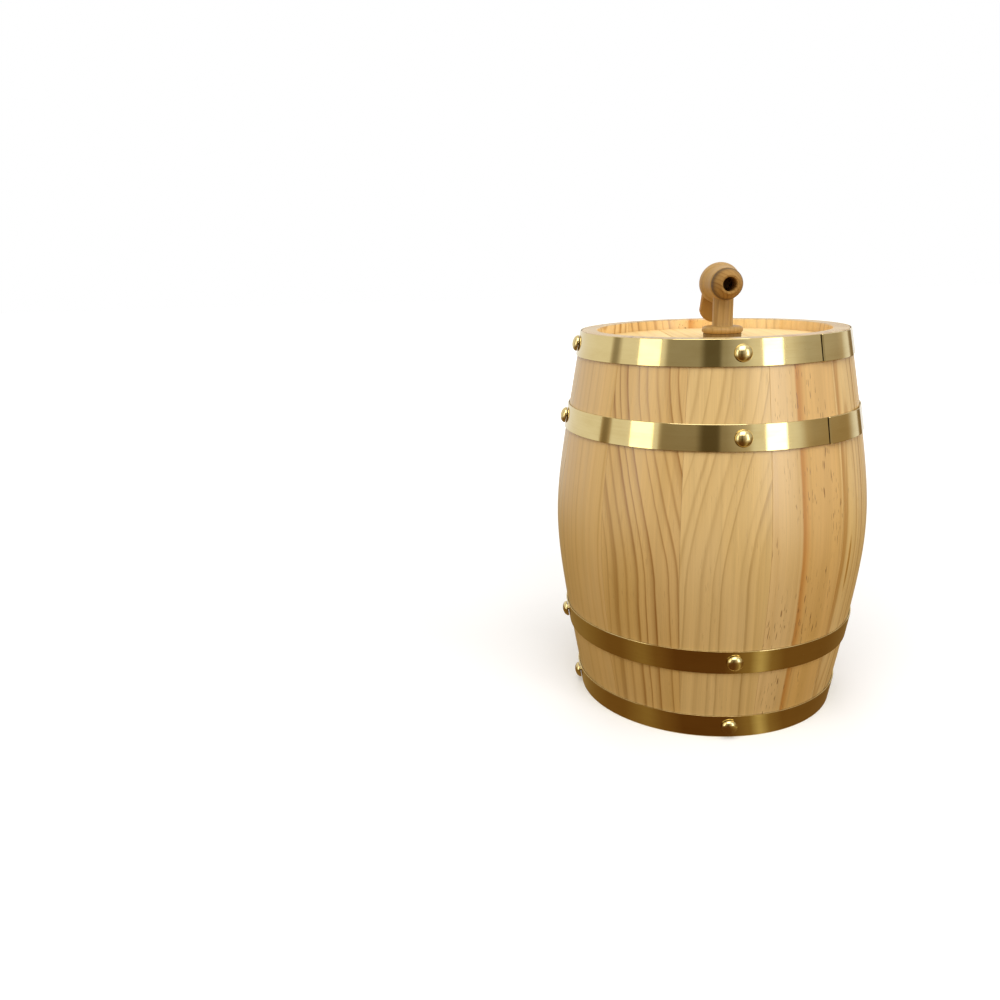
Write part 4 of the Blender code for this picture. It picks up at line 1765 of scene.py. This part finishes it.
        Bench.soften(self.lever, self.lever_round, self.lever_round_steps, rim)
        wide = self.tenon + 2 * self.shape.fit
        Bench.clear()
        middle = self.centre + Vector((0.0, near + self.lever_thick / 2, 0.0))
        bpy.ops.mesh.primitive_cube_add(size=1.0, location=middle, scale=(wide, 2 * self.lever_thick, wide))
        Bench.carve(self.lever, Bench.settle(bpy.context.object))

    def build(self) -> None:
        """Make the body, the key and the lever."""
        self.build_body()
        self.build_key()
        self.build_lever()

    def dress(self) -> None:
        """Give the three pieces their woods, with the grain along each."""
        c = self.centre
        foot, mouth, tip = c.z - BOARD_MIDDLE, c.y - self.spout_reach - BOARD_MIDDLE, self.lever_grain
        Bench.map_surface(self.body, GRAIN_SPACE, lambda p: Vector((p.x - c.x, p.y - c.y, p.z - foot)))
        Bench.map_surface(self.key, GRAIN_SPACE, lambda p: Vector((p.x - c.x, p.z - c.z, p.y - mouth)))
        Bench.map_surface(self.lever, GRAIN_SPACE, lambda p: Vector((p.x - c.x, p.y - c.y, p.z - tip)))
        body_wood = TAP_WOOD.material("tap_wood", self.body_seed)
        key_wood = SPOUT_WOOD.material("spout_wood", self.key_seed)
        lever_wood = LEVER_WOOD.material("lever_wood", self.lever_seed)
        Bench.finish(self.body, body_wood, "barrel", "tap_wood", ["tap_body"])
        Bench.finish(self.key, key_wood, "tap_key", "tap_wood", ["key_plug"])
        Bench.finish(self.lever, lever_wood, "tap_key", "lever_wood", ["key_lever"])


# The studio


@dataclass(frozen=True)
class SoftBox:
    """An area lamp aimed at the barrel."""

    name: str
    azimuth: float
    elevation: float
    distance: float
    width: float
    height: float
    radiance: float
    tint: tuple[float, float, float] = (1.0, 1.0, 1.0)
    mirrored: bool = True

    def hang(self, target: Vector) -> None:
        """Hang the lamp.

        Args:
            target: What it is aimed at.
        """
        rise = math.radians(self.elevation)
        out = outward(self.azimuth) * math.cos(rise) + UP * math.sin(rise)
        data = bpy.data.lights.new(self.name, "AREA")
        data.shape = "RECTANGLE"
        data.size, data.size_y = self.width, self.height
        data.energy = self.radiance * math.pi * self.width * self.height
        data.color = self.tint
        lamp = bpy.data.objects.new(self.name, data)
        bpy.context.scene.collection.objects.link(lamp)
        lamp.location = target + out * self.distance
        lamp.rotation_euler = out.to_track_quat("Z", "Y").to_euler()
        lamp.visible_camera = False
        lamp.visible_glossy = self.mirrored


@dataclass
class Studio:
    """Floor, cards, lamps, background and camera."""

    target: Vector = field(default_factory=lambda: Vector((0.0, 0.0, 0.15)))
    floor_size: float = 12.0
    floor_colour: Colour = (0.80, 0.80, 0.80, 1.0)
    bounce_colour: Colour = (0.24, 0.14, 0.035, 1.0)
    near_lift: float = 0.12
    far_lift: float = 0.80
    lift_reach: tuple[float, float] = (0.35, 1.6)
    sky: float = 0.55
    sky_colour: Colour = (1.0, 0.96, 0.88, 1.0)
    surround_radius: float = 1.6
    surround_height: float = 1.8
    surround_low: Colour = (0.62, 0.46, 0.26, 1.0)
    surround_panels: tuple[tuple[float, float, Panel], ...] = (
        (-180.0, -101.0, Panel.WHITE), (-97.0, -93.0, Panel.SHADE), (-88.0, -49.0, Panel.WHITE),
        (-46.0, -21.0, Panel.SHADE), (-16.0, -5.0, Panel.DARK), (-2.5, 0.0, Panel.SHADE),
        (10.0, 12.0, Panel.PALE), (22.0, 51.0, Panel.WHITE), (68.0, 102.0, Panel.PALE),
        (118.0, 121.0, Panel.WHITE), (125.0, 131.0, Panel.SHADE), (136.0, 180.0, Panel.WHITE),
    )
    surround_white: tuple[float, float] = (0.68, 0.95)
    surround_warm: tuple[float, float] = (0.1, 0.65)
    surround_fade: float = 0.8
    card_steps: int = 96
    table_height: float = 0.0004
    table_near: float = 0.3
    table_far: float = 1.2
    table_apex: float = 0.048
    table_sectors: tuple[tuple[float, float, Brown], ...] = (
        (-180.0, -115.0, Brown.GOLD), (-92.0, -80.0, Brown.TAN), (-66.0, -62.0, Brown.GOLD),
        (-53.0, -51.0, Brown.TAN), (-38.0, 1.0, Brown.DEEP), (20.0, 22.0, Brown.GOLD),
        (30.0, 32.0, Brown.GLEAM), (40.0, 41.0, Brown.GOLD), (52.0, 92.0, Brown.TAN),
        (160.0, 180.0, Brown.GOLD),
    )
    camera_place: tuple[float, float, float] = (-0.12697, -0.61309, 0.29903)
    camera_yaw: float = -1.435
    camera_pitch: float = 14.872
    camera_roll: float = 1.739
    camera_lens: float = 33.07
    camera_sensor: float = 36.0
    camera_clip: tuple[float, float] = (0.01, 50.0)
    boxes: tuple[SoftBox, ...] = (
        SoftBox("overhead_box", -13.0, 60.0, 1.6, 1.3, 1.3, 3.5, (1.0, 1.0, 1.04)),
        SoftBox("left_box", -61.5, 16.0, 1.3, 0.42, 0.9, 2.0, (1.0, 0.96, 0.80)),
        SoftBox("right_box", 37.0, 16.0, 1.3, 0.36, 0.9, 3.4),
        SoftBox("side_fill", 80.0, 32.0, 1.6, 0.9, 0.9, 1.9, mirrored=False),
        SoftBox("back_fill", 185.0, 30.0, 1.6, 1.0, 1.0, 1.9, mirrored=False),
    )

    def background_rays(self, w: Wiring) -> Socket:
        """Tell the rays that see the white background from the rest.

        Args:
            w: The wiring to work in.

        Returns:
            1 for such a ray, 0 for another.
        """
        rays = w.add("ShaderNodeLightPath").outputs
        seen = w.math("MAXIMUM", rays["Is Camera Ray"], rays["Is Glossy Ray"])
        return w.math("MAXIMUM", seen, rays["Is Transmission Ray"])

    def coat(
        self, thing: bpy.types.Object, name: str, paint: Callable[[Wiring], tuple[object, Socket, Socket]]
    ) -> None:
        """Give a part of the studio a mix of two shaders.

        Args:
            thing: The floor or a card.
            name: Name of its material.
            paint: Gives the share of the second shader, the first shader and the second.
        """
        material, w, shader = new_material(name)
        w.tree.nodes.remove(shader)
        mixed = w.add("ShaderNodeMixShader", dict(enumerate(paint(w))))
        w.feed(w.tree.nodes["Material Output"].inputs[0], mixed.outputs[0])
        material.cycles.emission_sampling = "NONE"
        thing.data.materials.append(material)

    def floor_paint(self, w: Wiring) -> tuple[object, Socket, Socket]:
        """Shaders of the floor: brown to the barrel, and a pale one lifted to white far off.

        Args:
            w: The floor's wiring.

        Returns:
            The share of the pale shader, the brown shader and the pale one.
        """
        pale = w.add("ShaderNodeBsdfDiffuse", {"Color": self.floor_colour}).outputs[0]
        place = w.add("ShaderNodeTexCoord").outputs["Object"]
        far = w.ease(w.distance(place), *self.lift_reach)
        strength = w.math("MULTIPLY_ADD", far, self.far_lift - self.near_lift, self.near_lift)
        lift = w.add("ShaderNodeEmission", {"Color": grey(1.0), "Strength": strength}).outputs[0]
        lifted = w.add("ShaderNodeAddShader", {0: pale, 1: lift}).outputs[0]
        bounce = w.add("ShaderNodeBsdfDiffuse", {"Color": self.bounce_colour}).outputs[0]
        return self.background_rays(w), bounce, lifted

    def lay_floor(self) -> None:
        """Lay a pale floor that keeps the barrel's shadow."""
        Bench.clear()
        bpy.ops.mesh.primitive_plane_add(size=self.floor_size)
        floor = bpy.context.object
        floor.name = "studio_floor"
        self.coat(floor, "floor_paper", self.floor_paint)

    def around(self, w: Wiring, place: Socket) -> Socket:
        """Azimuth of a place on a card.

        Args:
            w: The card's wiring.
            place: The place.

        Returns:
            The azimuth, with -180 to 180 degrees as 0 to 1.
        """
        part = w.split(place)
        turn = w.math("ARCTAN2", part[0], w.math("MULTIPLY", part[1], -1.0))
        return w.math("MULTIPLY_ADD", turn, 0.5 / math.pi, 0.5)

    def dress_card(
        self, card: bpy.types.Object, paint: Callable[[Wiring, Socket], tuple[Socket, object]]
    ) -> None:
        """Paint a card that only reflections see, and keep it from all other rays.

        Args:
            card: The card.
            paint: Gives the card's colour and its cover, from 0 to 1, at a place on it.
        """

        def glowing(w: Wiring) -> tuple[object, Socket, Socket]:
            """Shaders of the card.

            Args:
                w: The card's wiring.

            Returns:
                The card's cover, a clear shader and a glowing one.
            """
            colour, cover = paint(w, w.add("ShaderNodeTexCoord").outputs["Object"])
            glow = w.add("ShaderNodeEmission", {"Color": colour, "Strength": 1.0}).outputs[0]
            return cover, w.add("ShaderNodeBsdfTransparent").outputs[0], glow

        for ray in Ray:
            setattr(card, ray.value, False)
        self.coat(card, card.name, glowing)

    def sectors(self, w: Wiring, place: Socket, tones: Sequence[tuple[float, float, Enum]]) -> Socket:
        """Tones set round the barrel, blended where one ends and the next starts.

        Args:
            w: The card's wiring.
            place: A place on the card.
            tones: First azimuth, last azimuth and tone of each sector, from -180 to 180 degrees.

        Returns:
            The colour at the place.
        """
        stops = []
        for first, last, tone in tones:
            stops += [(first / 360.0 + 0.5, tone.value), (last / 360.0 + 0.5, tone.value)]
        return w.tints(self.around(w, place), stops)

    def warmed(self, w: Wiring, panels: Socket, white: Socket) -> Socket:
        """The panels' colour, warmed by the table where it isn't kept white."""
        return w.mix(1.0, panels, w.mix(white, self.surround_low, grey(1.0)), "MULTIPLY")

    def table_paint(self, w: Wiring, place: Socket) -> tuple[Socket, object]:
        """Paint the table card: brown near the barrel, the surround's foot far off.

        Args:
            w: The card's wiring.
            place: A place on the card.

        Returns:
            The card's colour and cover there.
        """
        from_apex = w.scaled(place, (1.0, 1.0, 1.0), (0.0, self.table_apex, 0.0))
        near = self.sectors(w, from_apex, self.table_sectors)
        panels = self.sectors(w, place, self.surround_panels)
        foot = self.warmed(w, panels, w.ease(panels, *self.surround_white))
        return w.mix(w.ease(w.distance(place), self.table_near, self.table_far), near, foot), 1.0

    def surround_paint(self, w: Wiring, place: Socket) -> tuple[Socket, object]:
        """Paint the surround: its panels, warmer towards the table.

        Args:
            w: The card's wiring.
            place: A place on the card.

        Returns:
            The card's colour and cover there.
        """
        height = w.split(place)[2]
        panels = self.sectors(w, place, self.surround_panels)
        bright = w.ease(panels, *self.surround_white)
        white = w.math("MAXIMUM", w.ease(height, *self.surround_warm), bright)
        fade = w.ease(height, self.surround_height, self.surround_height * self.surround_fade)
        return self.warmed(w, panels, white), fade

    def set_cards(self) -> None:
        """Set the brown table card round the foot and the panelled surround, painted reflections for the
        brass.
        """
        Bench.clear()
        bpy.ops.mesh.primitive_circle_add(
            vertices=self.card_steps, radius=self.surround_radius, fill_type="NGON",
            location=(0.0, 0.0, self.table_height),
        )
        table = bpy.context.object
        table.name = "table_reflection_card"
        self.dress_card(table, self.table_paint)
        Bench.clear()
        bpy.ops.mesh.primitive_cylinder_add(
            vertices=self.card_steps, radius=self.surround_radius, depth=self.surround_height,
            end_fill_type="NOTHING", location=(0.0, 0.0, self.surround_height / 2),
        )
        surround = Bench.settle(bpy.context.object)
        surround.name = "surround_reflection_card"
        self.dress_card(surround, self.surround_paint)

    def set_background(self) -> None:
        """Set a white background and a plain soft sky."""
        world = bpy.data.worlds.new("studio_sky")
        world.use_nodes = True
        bpy.context.scene.world = world
        w = Wiring(world.node_tree)
        shade = world.node_tree.nodes["Background"]
        soft = w.add("ShaderNodeBackground", {"Color": self.sky_colour, "Strength": self.sky}).outputs[0]
        shade.inputs["Color"].default_value = grey(1.0)
        shade.inputs["Strength"].default_value = 1.0
        mixed = w.add("ShaderNodeMixShader", {0: self.background_rays(w), 1: soft, 2: shade.outputs[0]})
        w.feed(world.node_tree.nodes["World Output"].inputs[0], mixed.outputs[0])

    def set_camera(self) -> None:
        """Stand the camera where the photograph was taken from."""
        yaw, pitch, roll = (math.radians(a) for a in (self.camera_yaw, self.camera_pitch, self.camera_roll))
        ahead = Vector((math.sin(yaw) * math.cos(pitch), math.cos(yaw) * math.cos(pitch), -math.sin(pitch)))
        right = Vector((math.cos(yaw), -math.sin(yaw), 0.0))
        down = ahead.cross(right)
        x = right * math.cos(roll) + down * math.sin(roll)
        y = right * math.sin(roll) - down * math.cos(roll)
        data = bpy.data.cameras.new("photo_camera")
        data.lens, data.sensor_width = self.camera_lens, self.camera_sensor
        data.clip_start, data.clip_end = self.camera_clip
        camera = bpy.data.objects.new("photo_camera", data)
        bpy.context.scene.collection.objects.link(camera)
        turn = Matrix((x, y, -ahead)).transposed().to_4x4()
        camera.matrix_world = Matrix.Translation(self.camera_place) @ turn
        bpy.context.scene.camera = camera

    def build(self) -> None:
        """Set up the whole studio."""
        bpy.context.scene.view_settings.view_transform = "Standard"
        self.lay_floor()
        self.set_cards()
        for box in self.boxes:
            box.hang(self.target)
        self.set_background()
        self.set_camera()


def main() -> None:
    """Build and dress the barrel from the staves outwards, then set the studio."""
    logging.basicConfig(level=logging.INFO, format="%(name)s: %(message)s")
    staves, heads, hoops, nails, bung, tap = Staves(), Heads(), Hoops(), Nails(), Bung(), Tap()
    staves.build(bung)
    heads.build(tap)
    hoops.build()
    nails.build(hoops)
    bung.build()
    tap.build()
    for group in (staves, heads, hoops, nails, bung, tap):
        group.dress()
    Studio().build()


if __name__ == "__main__":
    main()
